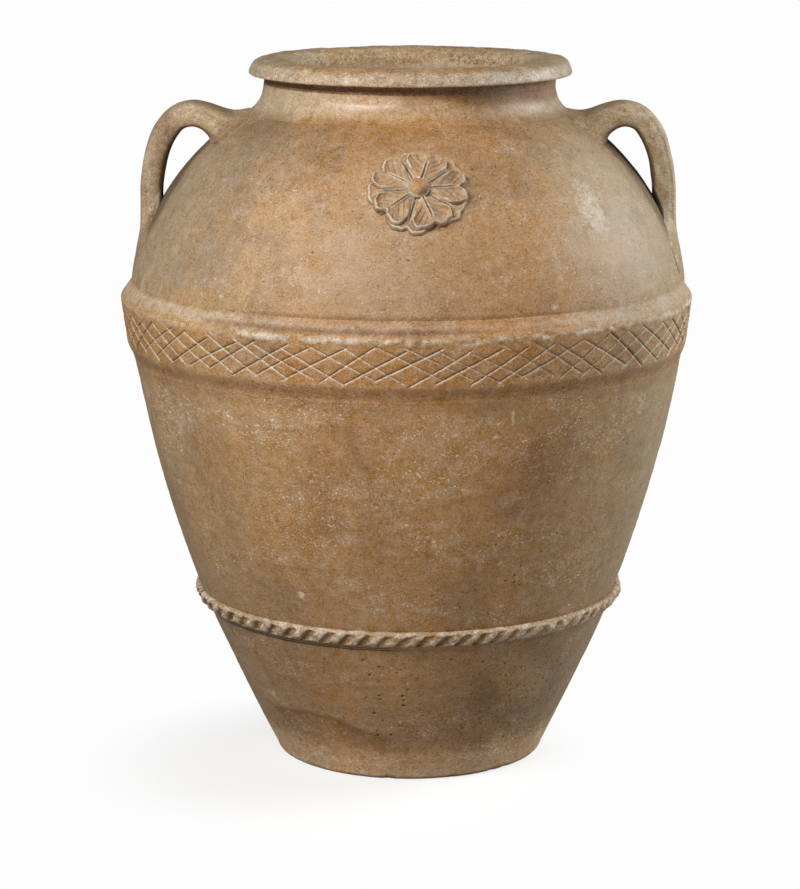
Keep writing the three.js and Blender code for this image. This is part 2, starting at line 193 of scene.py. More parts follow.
class ClayColours(PropertyGroup):
    """Colours of the fired and weathered clay"""

    ochre: colour("Ochre", (0.45, 0.268, 0.120), "Main colour of the clay")
    orange: colour("Orange", (0.49, 0.262, 0.098), "Warm patches")
    fired: colour("Fired orange", (0.50, 0.220, 0.072), "Hard-fired front of the belt")
    # Umber also darkens the bottom of the wall as painted shade.
    umber_and_shade: colour("Umber", (0.26, 0.146, 0.069), "Dark stains")
    # Rust also colours painted shade: under the rim's lip and on the neck below it, under the straps, and in
    # the belt's groove and hem.
    rust_and_shade: colour("Rust", (0.25, 0.118, 0.042), "Ground-in dirt of corners")
    rosy: colour("Rosy grey", (0.40, 0.262, 0.150), "Pinkish grey blotches")
    mauve: colour("Mauve grey", (0.345, 0.255, 0.178), "Film on the left of the shoulder")
    patina: colour("Patina", (0.355, 0.292, 0.175), "Grey-olive patina")
    lime: colour("Lime", (0.68, 0.58, 0.45), "Lime bloom")
    dust: colour("Dust", (0.54, 0.415, 0.270), "Dry dust in corners")
    sandy: colour("Sandy", (0.76, 0.475, 0.255), "Rubbed clay at the foot")
    # Soot also colours painted shade: in hollows and pits, under the straps and the rope, on the neck under
    # the lip, along the foot and on the dark side of the cuts.
    soot_and_shade: colour("Soot", (0.075, 0.041, 0.021), "Deep pits and dirt")
    bloom: colour("Bloom", (0.50, 0.425, 0.33), "Grey bloom of parts that are handled and washed")


class StageSizes(PropertyGroup):
    """Camera and studio light"""

    camera_side: length("Camera side", -0.0103, "Camera to the right of the jar's axis")
    camera_back: length("Camera back", 3.9237, "Camera in front of the jar's axis")
    camera_height: length("Camera height", 1.2274, "Camera over the floor")
    camera_dip: angle("Camera dip", 11.93, "How far the camera looks down")
    lens: plain_number("Lens", 125.06, "Focal length in millimetres", "CAMERA")
    sensor: plain_number("Sensor", 36.0, "Height of the sensor in millimetres", "CAMERA")
    aim: length("Aim", 0.6, "Level that the softboxes are aimed at")
    key_turn: angle("Key turn", -36, "Main softbox, from the front towards the right")
    key_lift: angle("Key lift", 32, "Main softbox over the level")
    key_distance: length("Key distance", 2.55, "Main softbox from the jar")
    key_width: length("Key width", 1.9, "Width of the main softbox")
    key_height: length("Key height", 0.5, "Height of the main softbox")
    key_power: plain_number("Key power", 60.0, "Power of the main softbox in watts", "POWER")
    side_turn: angle("Side turn", 101, "Softbox on the right, from the front towards the right")
    side_lift: angle("Side lift", 20, "Softbox on the right over the level")
    side_distance: length("Side distance", 2.6, "Softbox on the right from the jar")
    side_width: length("Side width", 1.7, "Width of the softbox on the right")
    side_height: length("Side height", 1.2, "Height of the softbox on the right")
    side_power: plain_number("Side power", 54.5, "Power of the softbox on the right in watts", "POWER")
    sky: plain_number("Sky", 0.20, "Strength of the light from all round")
    backdrop: plain_number("Backdrop", 0.985, "Brightness of floor and background as the camera sees them")
    bounce: plain_number("Bounce", 0.40, "Share of the light that the floor throws back at the jar")
    floor_half: length("Floor half", 30.0, "Half the width of the floor")
    paper: plain_number("Paper", 0.44, "Share of the light that the floor throws back at the camera")
    paper_glow: plain_number("Paper glow", 0.59, "Glow of the floor under the shadow")
    shadow_side: length("Shadow side", -0.09, "Middle of the shadow, to the right of the jar's axis")
    shadow_back: length("Shadow back", -0.11, "Middle of the shadow, behind the jar's axis")
    shadow_core: length("Shadow core", 0.15, "How far from its middle the shadow is seen in full")
    shadow_reach: length("Shadow reach", 0.37, "How far from its middle the shadow on the floor is seen")


# Outline of the jar
class Arc:
    """Arc between two points of the outline, bulging away from the axis."""

    def __init__(self, start, end, bulge):
        chord = end - start
        half = chord.length / 2
        self.radius = (half**2 + bulge**2) / (2 * bulge)
        inward = Vector((-chord.y, chord.x)).normalized()
        self.centre = (start + end) / 2 + inward * (self.radius - bulge)
        self.first = math.atan2(start.y - self.centre.y, start.x - self.centre.x)
        self.last = math.atan2(end.y - self.centre.y, end.x - self.centre.x)
        self.length = self.radius * (self.last - self.first)

    def point(self, part, raised=0.0):
        turn = self.first + (self.last - self.first) * part
        return self.centre + Vector((math.cos(turn), math.sin(turn))) * (self.radius + raised)

    def points(self, steps):
        return [self.point(step / steps) for step in range(steps + 1)]


def bend(start, corner, end, steps):
    """Points of a soft bend from start to end round a corner."""
    made = []
    for step in range(steps + 1):
        t = step / steps
        made.append(start * (1 - t) ** 2 + corner * 2 * t * (1 - t) + end * t**2)
    return made


def smooth_run(stations, steps):
    """Smooth rows of numbers through a few stations, evenly from the first to the last."""
    rows = np.array(stations, float)
    rows = np.vstack([2 * rows[0] - rows[1], rows, 2 * rows[-1] - rows[-2]])
    made = []
    for step in range(steps + 1):
        at = step / steps * (len(stations) - 1)
        k = min(int(at), len(stations) - 2)
        t = at - k
        a, b, c, d = rows[k : k + 4]
        square = 2 * a - 5 * b + 4 * c - d
        cube = 3 * b - a - 3 * c + d
        made.append(0.5 * (2 * b + (c - a) * t + square * t**2 + cube * t**3))
    return made


def belly_arc(sizes):
    """Arc of the belly, from the cordon to the belt."""
    start = Vector((sizes.cordon_radius, sizes.cordon_level))
    return Arc(start, Vector((sizes.belt_radius, sizes.belt_level)), sizes.belly_bulge)


def shoulder_arc(sizes):
    """Arc of the shoulder, from the belt to the neck."""
    start = Vector((sizes.belt_radius, sizes.shoulder_level))
    return Arc(start, Vector((sizes.neck_foot_radius, sizes.neck_level)), sizes.shoulder_bulge)


def outside_line(sizes):
    """Outside of the wall from the ground to the rim, as radius and level."""
    foot = Vector((sizes.foot_radius, 0))
    corner = Vector((sizes.foot_radius + 0.7 * sizes.foot_flare, 0))
    edge = Vector((sizes.foot_radius + sizes.foot_flare, sizes.foot_edge))
    cordon = Vector((sizes.cordon_radius, sizes.cordon_level))
    neck = Vector((sizes.neck_foot_radius, sizes.neck_level))
    hollow = Vector((sizes.neck_radius + 0.0005, sizes.neck_level + sizes.neck_corner))
    top = Vector((sizes.neck_radius, sizes.rim_level))
    return [
        *bend(foot, corner, edge, 6),
        *Arc(edge, cordon, sizes.lower_bulge).points(96)[1:],
        *belly_arc(sizes).points(104)[1:],
        *shoulder_arc(sizes).points(88),
        *bend(neck, hollow, top, 16)[1:],
    ]


def moved_in(line, distance):
    """The same line moved towards the axis, square to itself."""
    made = []
    for index, point in enumerate(line):
        along = (line[min(index + 1, len(line) - 1)] - line[max(index - 1, 0)]).normalized()
        made.append(point + Vector((-along.y, along.x)) * distance)
    return made


def radius_at(line, level):
    """Radius of a rising line at a level."""
    levels = [point.y for point in line]
    return float(np.interp(level, levels, [point.x for point in line]))


def stretch(line, low, high):
    """Part of a rising line between two levels."""
    between = [point for point in line if low < point.y < high]
    return [Vector((radius_at(line, low), low)), *between, Vector((radius_at(line, high), high))]


def inside_line(sizes):
    """Inner face of the wall, which runs on to the mouth under the neck."""
    wall = moved_in([point for point in outside_line(sizes) if point.y <= sizes.neck_level][::6], sizes.wall)
    slope = (wall[-1].y - wall[-2].y) / (wall[-2].x - wall[-1].x)
    throat = wall[-1].y + slope * (wall[-1].x - sizes.mouth_radius)
    return [*wall, Vector((sizes.mouth_radius, throat)), Vector((sizes.mouth_radius, sizes.top_level))]


def stage_outline(sizes, low, high, low_inside, high_inside):
    """Closed section of one stage of the wall."""
    outer = stretch(outside_line(sizes), low, high)
    inner = stretch(inside_line(sizes), low_inside, high_inside)
    return [*outer, *reversed(inner)]


# Making and finishing meshes
def turned(outline, steps, closed=True):
    """A section turned through one sector with its seam at the back, and copies of that all round."""
    mesh = bmesh.new()
    ring = [mesh.verts.new((0, point.x, point.y)) for point in outline]
    ends = ring[1:] + ring[:1] if closed else ring[1:]
    edges = [mesh.edges.new(pair) for pair in zip(ring, ends)]
    sector, copies = 2 * math.pi / SECTORS, SECTORS - 1
    axis = {"cent": (0, 0, 0), "axis": (0, 0, 1)}
    bmesh.ops.spin(mesh, geom=ring + edges, angle=sector, steps=steps // SECTORS, **axis)
    whole = [*mesh.verts, *mesh.edges, *mesh.faces]
    bmesh.ops.spin(mesh, geom=whole, angle=copies * sector, steps=copies, use_duplicate=True, **axis)
    bmesh.ops.remove_doubles(mesh, verts=mesh.verts, dist=1e-5)
    return mesh


def piece_of(mesh, name, node, finish, crease=40):
    """The mesh as a finished piece that stands for one node of the frame."""
    bmesh.ops.recalc_face_normals(mesh, faces=mesh.faces)
    data = bpy.data.meshes.new(name)
    mesh.to_mesh(data)
    mesh.free()
    data.materials.append(finish)
    data.shade_smooth()
    data.set_sharp_from_angle(angle=math.radians(crease))
    piece = bpy.data.objects.new(name, data)
    bpy.context.scene.collection.objects.link(piece)
    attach(piece, BODY)
    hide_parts(node)
    return piece


def corners_of(piece):
    """Corners of a piece's mesh, one row each."""
    spots = np.zeros(len(piece.data.vertices) * 3)
    piece.data.vertices.foreach_get("co", spots)
    return spots.reshape(-1, 3)


def move_corners(piece, spots):
    """Puts the corners of a piece at new spots."""
    piece.data.vertices.foreach_set("co", spots.ravel())
    piece.data.update()


def paint(piece, **masks):
    """Stores how much of a mark lies at each corner, such as dust, dirt, wear, stain or painted shade."""
    for name, values in masks.items():
        layer = piece.data.attributes.new(name, "FLOAT", "POINT")
        layer.data.foreach_set("value", np.asarray(values, np.float32))


def ripple(spots, scale, shift=0.0):
    """Smooth noise at each spot, about from -0.7 to 0.7."""
    places = spots * np.array(scale) + shift
    return np.array([noise.noise(place) for place in places.tolist()])


def rise_between(values, low, high):
    """Smooth rise from nothing at a low value to one at a high one."""
    part = np.clip((values - low) / (high - low), 0, 1)
    return part * part * (3 - 2 * part)


def hump(values, middle, width):
    """Soft hump of height one round a middle value."""
    return np.exp(-(((values - middle) / width) ** 2))


def fading(values, limit, power=1):
    """One at nothing, falling to nothing at a limit."""
    return np.clip(1 - values / limit, 0, 1) ** power


def strongest(*layers):
    """The strongest of several marks at each spot."""
    return np.maximum.reduce(layers)


def reaches(spots):
    """Distance of each spot from the jar's axis."""
    return np.hypot(spots[:, 0], spots[:, 1])


def azimuths(spots):
    """Angle round the jar, from the front towards the right."""
    return np.arctan2(spots[:, 0], -spots[:, 1])


def unevenness(spots, sizes):
    """How far the hand-built wall stands out from its true outline."""
    slow = ripple(spots, (5.5, 5.5, 7.0)) + 0.5 * ripple(spots, (13, 13, 17), 7.3)
    wiped = ripple(spots, (4, 4, 120), 3.1) + 0.6 * ripple(spots, (9, 9, 260), 5.7)
    dents = np.minimum(ripple(spots, (24, 24, 30), 11.9) + 0.25, 0)
    return sizes.waver * slow + sizes.wiping * wiped + 0.0012 * dents


def push_out(spots, amount):
    """Moves spots away from the jar's axis, which itself leans a little to the right at foot and neck."""
    moved = spots.copy()
    moved[:, :2] *= (1 + amount / np.maximum(reaches(spots), 1e-9))[:, None]
    level = spots[:, 2]
    foot = rise_between(-level, -0.24, -0.12)
    belt = rise_between(level, 0.49, 0.55) * rise_between(-level, -0.70, -0.64)
    neck = rise_between(level, 0.70, 0.86)
    rim = rise_between(level, 0.862, 0.885)
    moved[:, 0] += 0.0018 * foot - 0.0020 * belt + 0.0016 * neck + 0.0016 * rim
    return moved


# Pits in the wall
def pits(seed, number, turns, levels, widths):
    """Seeded pits inside a patch of the wall: azimuth, level, half width."""
    draw = random.Random(seed)
    made = []
    for _ in range(number):
        turn = math.radians(draw.uniform(*turns))
        made.append((turn, draw.uniform(*levels), draw.uniform(*widths)))
    return made


def pit_spots(marks, sizes):
    """Middles of the pits on the wall."""
    line = outside_line(sizes)
    return [
        Vector((radius_at(line, z) * math.sin(turn), -radius_at(line, z) * math.cos(turn), z))
        for turn, z, _ in marks
    ]


def refine_near(mesh, marks, sizes):
    """Finer faces where pits will be pressed in."""
    middles = np.array([face.calc_center_median() for face in mesh.faces])
    mesh.faces.ensure_lookup_table()
    near = set()
    for spot, (_, _, width) in zip(pit_spots(marks, sizes), marks):
        gaps = np.linalg.norm(middles - np.array(spot), axis=1)
        near.update(np.nonzero(gaps < width + 0.0035)[0].tolist())
    edges = {edge for index in near for edge in mesh.faces[index].edges}
    bmesh.ops.subdivide_edges(mesh, edges=list(edges), cuts=3, use_grid_fill=True)


def pressed_pits(spots, marks, sizes):
    """Depth of the pits at each spot, as a length and as a share of each pit."""
    depth = np.zeros(len(spots))
    part = np.zeros(len(spots))
    for spot, (_, _, width) in zip(pit_spots(marks, sizes), marks):
        gaps = np.linalg.norm(spots - np.array(spot), axis=1) / width
        bowl = np.maximum(1 - gaps**2, 0)
        depth = np.maximum(depth, 0.75 * width * bowl**0.7)
        part = np.maximum(part, bowl**0.5)
    return depth, part


# Finishes
class Strand:
    """A shader socket that takes part in sums."""

    def __init__(self, finish, socket):
        self.finish = finish
        self.socket = socket

    def output(self, name):
        """Another output of the same node."""
        return Strand(self.finish, self.socket.node.outputs[name])

    def __add__(self, other):
        return self.finish.maths("ADD", self, other)

    def __radd__(self, other):
        return self.finish.maths("ADD", other, self)

    def __sub__(self, other):
        return self.finish.maths("SUBTRACT", self, other)

    def __rsub__(self, other):
        return self.finish.maths("SUBTRACT", other, self)

    def __mul__(self, other):
        return self.finish.maths("MULTIPLY", self, other)

    def __rmul__(self, other):
        return self.finish.maths("MULTIPLY", other, self)

    def __truediv__(self, other):
        return self.finish.maths("DIVIDE", self, other)

    def __rtruediv__(self, other):
        return self.finish.maths("DIVIDE", other, self)


class Finish:
    """A material or a world, and the few kinds of node that it is made of."""

    def __init__(self, owner):
        self.owner = owner
        owner.use_nodes = True
        self.tree = owner.node_tree
        self.tree.nodes.clear()

    def node(self, kind, settings=None, inputs=None, output=0):
        """A node of a kind, with its settings, then the values or links of its sockets."""
        made = self.tree.nodes.new(kind)
        for name, value in (settings or {}).items():
            setattr(made, name, value)
        for key, value in (inputs or {}).items():
            if isinstance(value, Strand):
                self.tree.links.new(value.socket, made.inputs[key])
            else:
                made.inputs[key].default_value = value
        return Strand(self, made.outputs[output] if len(made.outputs) else None)

    def maths(self, operation, *values):
        """A sum on values and links."""
        return self.node("ShaderNodeMath", {"operation": operation}, dict(enumerate(values)))

    def place(self):
        """Object coordinates, in metres."""
        return self.node("ShaderNodeTexCoord", output="Object")

    def stretched(self, place, scale, shift=(0, 0, 0)):
        """Coordinates scaled and moved for one pattern."""
        return self.node("ShaderNodeMapping", None, {"Vector": place, "Scale": scale, "Location": shift})

    def cloud(self, place, scale, detail, roughness, distortion=0.0):
        """Cloudy pattern about from 0.3 to 0.7."""
        inputs = {"Vector": place, "Scale": scale, "Detail": detail, "Roughness": roughness}
        return self.node("ShaderNodeTexNoise", None, {**inputs, "Distortion": distortion})

    def smooth(self, value, low, high):
        """Smooth rise from nothing at a low value to one at a high one, or back where low is the larger."""
        inputs = {"Value": value, "From Min": low, "From Max": high}
        return self.node("ShaderNodeMapRange", {"interpolation_type": "SMOOTHSTEP"}, inputs)

    def mix(self, first, second, part):
        """Two colours mixed, with a part of the second."""
        return self.node("ShaderNodeMix", {"data_type": "RGBA"}, {0: part, 6: first, 7: second}, 2)

    def mask(self, name):
        """A mark that is painted on the mesh."""
        return self.node("ShaderNodeAttribute", {"attribute_name": name}, None, "Fac")

    def specks(self, place, scale, size, rarity):
        """Round specks in a few of the cells of a fine pattern."""
        cells = self.node("ShaderNodeTexVoronoi", {"feature": "F1"}, {"Vector": place, "Scale": scale})
        pick = self.node("ShaderNodeSeparateColor", None, {"Color": cells.output("Color")})
        return self.smooth(cells, size, 0.45 * size) * self.smooth(pick, rarity, rarity + 0.02)

    def near(self, value, middle, wide, narrow):
        """One where a value lies at a middle, and nothing farther off than a width."""
        return self.smooth(self.maths("ABSOLUTE", value - middle), wide, narrow)

    def scored_lines(self, side):
        """Depth of the cuts, the lime in them and their painted dark side, from the distances in mm on the
        mesh.
        """
        rising, rising_held = self.mask("rising_gap"), self.mask("rising_held")
        falling, falling_held = self.mask("falling_gap"), self.mask("falling_held")
        # The dark side is painted shade and the lime partly painted light: on the right of the jar, turned
        # away from the key light, the shade moves from the rising to the falling cuts and the falling cuts
        # lose most of their lime.
        turned_away = self.smooth(side, 0.30, 0.75)
        cuts = self.near(rising, 0.0, 1.7, 0.1) * rising_held
        cuts = cuts + self.near(falling, 0.0, 1.7, 0.1) * falling_held
        lime = self.near(rising, -1.0, 0.85, 0.35) * rising_held
        lime = lime + self.near(falling, -0.2, 1.20, 0.55) * falling_held * (1.0 - 0.75 * turned_away)
        dark = self.near(rising, 0.15, 1.0, 0.40) * rising_held * (0.75 - 0.45 * turned_away)
        dark = dark + self.near(falling, 0.5, 1.05, 0.45) * falling_held * (0.15 + 0.6 * turned_away)
        # The scored line under the rope is painted dark as well.
        scratch = self.maths("ABSOLUTE", self.mask("scratch_gap"))
        dark = dark + self.near(scratch, 1.35, 0.95, 0.35) * self.mask("scratch_held")
        return cuts, lime, dark


def solid(value):
    """A colour with its alpha."""
    return (*value, 1.0)


# The dirt strength also sets the painted shade towards the bottom of the wall.
def terracotta(name, warmth=1.0, fired=0.0, patina=1.0, lime=1.0, dirt=1.0, gloss=0.50, grain=1.0):
    """Weathered clay: warm clouds, stains, wiping marks, patina, lime flecks and specks, and painted shade
    low on the wall, in hollows and on the dark side of cuts.
    """
    tones = bpy.context.scene.clay_colours
    ochre, orange, umber_and_shade, rust_and_shade = map(solid, (tones.ochre, tones.orange, tones.umber_and_shade, tones.rust_and_shade))
    rosy, grey, chalk, soot_and_shade = map(solid, (tones.rosy, tones.patina, tones.lime, tones.soot_and_shade))
    made = Finish(bpy.data.materials.new(name))
    place = made.place()
    axes = made.node("ShaderNodeSeparateXYZ", None, {"Vector": place})
    x, y, z = axes, axes.output("Y"), axes.output("Z")
    side = x / made.maths("SQRT", x * x + y * y + 1e-6)

    # Clouds, from slow to fine, and wiping marks
    slow = made.cloud(place, 4.4, 3.0, 0.5, 0.6)
    patch = made.cloud(made.stretched(place, (1, 1, 0.7), (3.1, 1.7, 0.4)), 10.0, 5.0, 0.6, 0.5)
    blotch = made.cloud(made.stretched(place, (1, 1, 1.2), (7.7, 2.3, 5.1)), 26.0, 6.0, 0.65)
    spread = made.cloud(made.stretched(place, (1, 1, 1.1), (0.7, 6.6, 1.8)), 55.0, 3.0, 0.6)
    mottle = made.cloud(made.stretched(place, (1, 1, 1.2), (1.3, 9.2, 4.4)), 95.0, 6.0, 0.72)
    grit = made.cloud(made.stretched(place, (1, 1, 1.2), (4.9, 0.6, 2.8)), 300.0, 5.0, 0.8)
    fine = made.cloud(made.stretched(place, (1, 1, 1.2), (8.1, 3.6, 7.2)), 560.0, 2.0, 0.8)
    wiped = made.cloud(made.stretched(place, (5, 5, 130)), 1.0, 5.0, 0.65)
    brushed = made.cloud(made.stretched(place, (120, 120, 7), (2, 5, 8)), 1.0, 4.0, 0.65)
    crowd = made.cloud(made.stretched(place, (1, 1, 2.2), (12.1, 3.4, 8.8)), 8.5, 5.0, 0.62, 0.6)
    fleck = made.cloud(made.stretched(place, (1, 1, 1.5), (6.2, 1.1, 3.9)), 270.0, 2.0, 0.6, 1.2)

    # Clay with its warm patches and stains
    front = made.smooth(side * side, 0.36, 0.02)
    warm = made.smooth(slow + 0.5 * (patch - 0.5) + 0.08 * front, 0.42, 0.60)
    tint = made.mix(ochre, orange, warm * warmth)
    tint = made.mix(tint, solid(tones.fired), front * fired)
    tint = made.mix(tint, umber_and_shade, made.smooth(patch, 0.48, 0.68) * (0.66 * dirt))
    tint = made.mix(tint, rosy, made.smooth(blotch, 0.50, 0.64) * 0.20)
    tint = made.mix(tint, orange, made.smooth(spread, 0.54, 0.70) * (0.38 * warmth))
    tint = made.mix(tint, umber_and_shade, made.smooth(wiped, 0.53, 0.76) * (0.42 * dirt))

    # Patina on the sides and the back
    right = made.smooth(side + 0.9 * (slow - 0.5) + 0.5 * (blotch - 0.5), 0.46, 0.98)
    left = made.smooth(0.7 * (patch - 0.5) - side, 0.42, 1.00) * (0.30 + 0.70 * made.smooth(z, 0.58, 0.66))
    behind = made.smooth(y + 0.25 * (slow - 0.5), 0.0, 0.25)
    worn = made.maths("MAXIMUM", made.maths("MAXIMUM", right, left), 0.7 * behind)
    tint = made.mix(tint, grey, worn * (0.62 + 0.14 * made.smooth(z, 0.54, 0.48)) * patina)
    veil = made.smooth(1.5 * (blotch - 0.5) + 1.6 * (slow - 0.5) - side, 0.35, 0.95)
    veil = veil * made.smooth(z, 0.60, 0.66) * made.smooth(z, 0.84, 0.80)
    tint = made.mix(tint, solid(tones.mauve), veil * (0.48 * patina))

    # Painted shade towards the bottom of the wall, and stains below the belt
    # Painted shade: darker towards the bottom of the wall, where less light falls, but not on its far left.
    shade_low_down = made.smooth(z, 0.40, 0.18) * made.smooth(z, 0.01, 0.07)
    shade_low_down = shade_low_down * made.smooth(side + 0.8 * (patch - 0.5), -1.3, -0.7)
    tint = made.mix(tint, umber_and_shade, shade_low_down * (0.33 * dirt))
    smudge = made.cloud(made.stretched(place, (1, 1, 0.6), (5.3, 8.4, 2.6)), 7.0, 4.0, 0.55, 0.4)
    below = made.smooth(z, 0.58, 0.40)
    tint = made.mix(tint, umber_and_shade, made.smooth(smudge, 0.50, 0.68) * below * (0.34 * dirt))
    tint = made.mix(tint, ochre, made.smooth(smudge, 0.47, 0.32) * below * 0.40)

    # Rosy front of the shoulder, lime film and smears, rubbed foot
    upper = made.smooth(z, 0.60, 0.66) * made.smooth(z, 0.84, 0.81)
    tint = made.mix(tint, rosy, front * upper * (0.42 * patina))
    film = made.smooth(side + 1.2 * (crowd - 0.5), 0.40, 0.90)
    film = film * made.smooth(z, 0.60, 0.70) * made.smooth(z, 0.83, 0.80) * made.smooth(side, 1.05, 0.80)
    tint = made.mix(tint, chalk, film * (0.20 * lime))
    smears = made.smooth(brushed, 0.50, 0.70) * made.smooth(patch, 0.50, 0.62)
    tint = made.mix(tint, chalk, smears * (0.17 * lime))
    tint = made.mix(tint, umber_and_shade, made.smooth(brushed, 0.48, 0.30) * below * (0.30 * dirt))
    grounded = made.smooth(z + 0.05 * (patch - 0.5), 0.060, 0.015)
    tint = made.mix(tint, solid(tones.sandy), grounded * (0.78 + 1.2 * (mottle - 0.5)))
    flecked = made.smooth(z, 0.38, 0.43) * made.smooth(z, 0.53, 0.48) * made.smooth(side, 0.55, 0.20)
    crowded = made.smooth(crowd + 0.10 * flecked, 0.49, 0.62)
    tint = made.mix(tint, chalk, crowded * made.smooth(spread, 0.46, 0.66) * (0.12 * lime))

    # Marks that are painted on the mesh, among them painted shade in the hollow and stain marks
    stain, dust, hollow, wear, bloom = map(made.mask, ("stain", "dust", "hollow", "wear", "bloom"))
    tint = made.mix(tint, solid(tones.bloom), bloom * (0.8 + 1.6 * (blotch - 0.5)))
    # The stain mark holds stains, and painted shade under the rim's lip, on the neck below it, under the
    # straps and in the belt's groove and hem.
    tint = made.mix(tint, rust_and_shade, made.smooth(stain + 0.8 * (blotch - 0.5), 0.05, 0.95) * 0.75)
    tint = made.mix(tint, solid(tones.dust), made.smooth(dust + 0.9 * (mottle - 0.5), 0.10, 0.95) * 0.85)
    tint = made.mix(tint, chalk, made.smooth(wear + 1.2 * (mottle - 0.5), 0.34, 0.75) * 0.75)
    # Painted shade on the dark side of the cuts and on the scored line, and lime partly painted light on the
    # other side.
    cuts, lime_line, dark_line = made.scored_lines(side)
    tint = made.mix(tint, soot_and_shade, dark_line)
    tint = made.mix(tint, chalk, lime_line * made.smooth(grit, 0.34, 0.52) * 0.85)
    tint = made.mix(tint, chalk, made.specks(place, 95.0, 0.15, 0.90) * (0.75 * lime))
    tint = made.mix(tint, soot_and_shade, made.specks(place, 105.0, 0.14, 0.92) * (0.65 * dirt))
    # Painted shade: the hollow mark darkens pits and recesses and the parts under straps, rope and lip.
    tint = made.mix(tint, soot_and_shade, hollow * 0.85)

    # Flecks, scars and grain
    flecks = made.smooth(fleck, 0.61, 0.66) * (0.12 + 1.25 * crowded) * lime
    flecks = flecks * (1.0 - 0.45 * made.smooth(z, 0.60, 0.64))
    scars = made.smooth(fleck, 0.38, 0.31) * (0.25 + made.smooth(patch, 0.34, 0.54)) * dirt
    pale = made.specks(place, 240.0, 0.26, 0.85) * lime
    dark = made.specks(made.stretched(place, (1, 1, 1.1), (2.4, 7.5, 3.3)), 220.0, 0.27, 0.86) * dirt
    cloudy = 0.95 * (grit - 0.5) + 1.1 * (fine - 0.5) + 0.7 * (mottle - 0.5) + 0.4 * (spread - 0.5)
    value = 1.0 + grain * cloudy + 0.70 * flecks + 0.42 * pale - 0.34 * scars - 0.36 * dark
    looks = {"Saturation": 1.0 / value, "Value": value, "Color": tint}
    tint = made.node("ShaderNodeHueSaturation", None, looks)

    # Gloss and relief
    rough = gloss + 0.5 * (mottle - 0.5) + 0.3 * (grit - 0.5) + 0.20 * crowded + 0.25 * dust + 0.35 * hollow
    height = 0.5 * grit + 0.8 * mottle + 0.35 * wiped + 0.30 * fine - 0.75 * cuts + 0.15 * flecks
    relief = {"Height": height, "Strength": 0.45 * grain, "Distance": 0.0022}
    clay = made.node(
        "ShaderNodeBsdfPrincipled",
        None,
        {
            "Base Color": tint,
            "Roughness": rough,
            "Specular IOR Level": 0.5,
            "Coat Weight": made.mask("wax"),
            "Coat Roughness": 0.30,
            "Normal": made.node("ShaderNodeBump", None, relief),
        },
    )
    made.node("ShaderNodeOutputMaterial", None, {"Surface": clay})
    return made.owner


def finish_named(name, **looks):
    """The finish of that name, made on first use."""
    return bpy.data.materials.get(name) or terracotta(name, **looks)


def wall_clay():
    return finish_named("wall clay", grain=0.85)


def rim_clay():
    return finish_named("rim clay", warmth=0.8, dirt=0.8, gloss=0.46, grain=1.6)


def trim_clay():
    return finish_named("trim clay", warmth=1.3, fired=0.5, patina=0.45, lime=0.45)


def rope_clay():
    return finish_named("rope clay", warmth=0.8, patina=0.7, grain=1.4)


def handle_clay():
    return finish_named("handle clay", patina=0.8, gloss=0.46, grain=1.2)


def rose_clay():
    return finish_named("rose clay", warmth=0.8, patina=0.8, lime=0.8, grain=0.8)


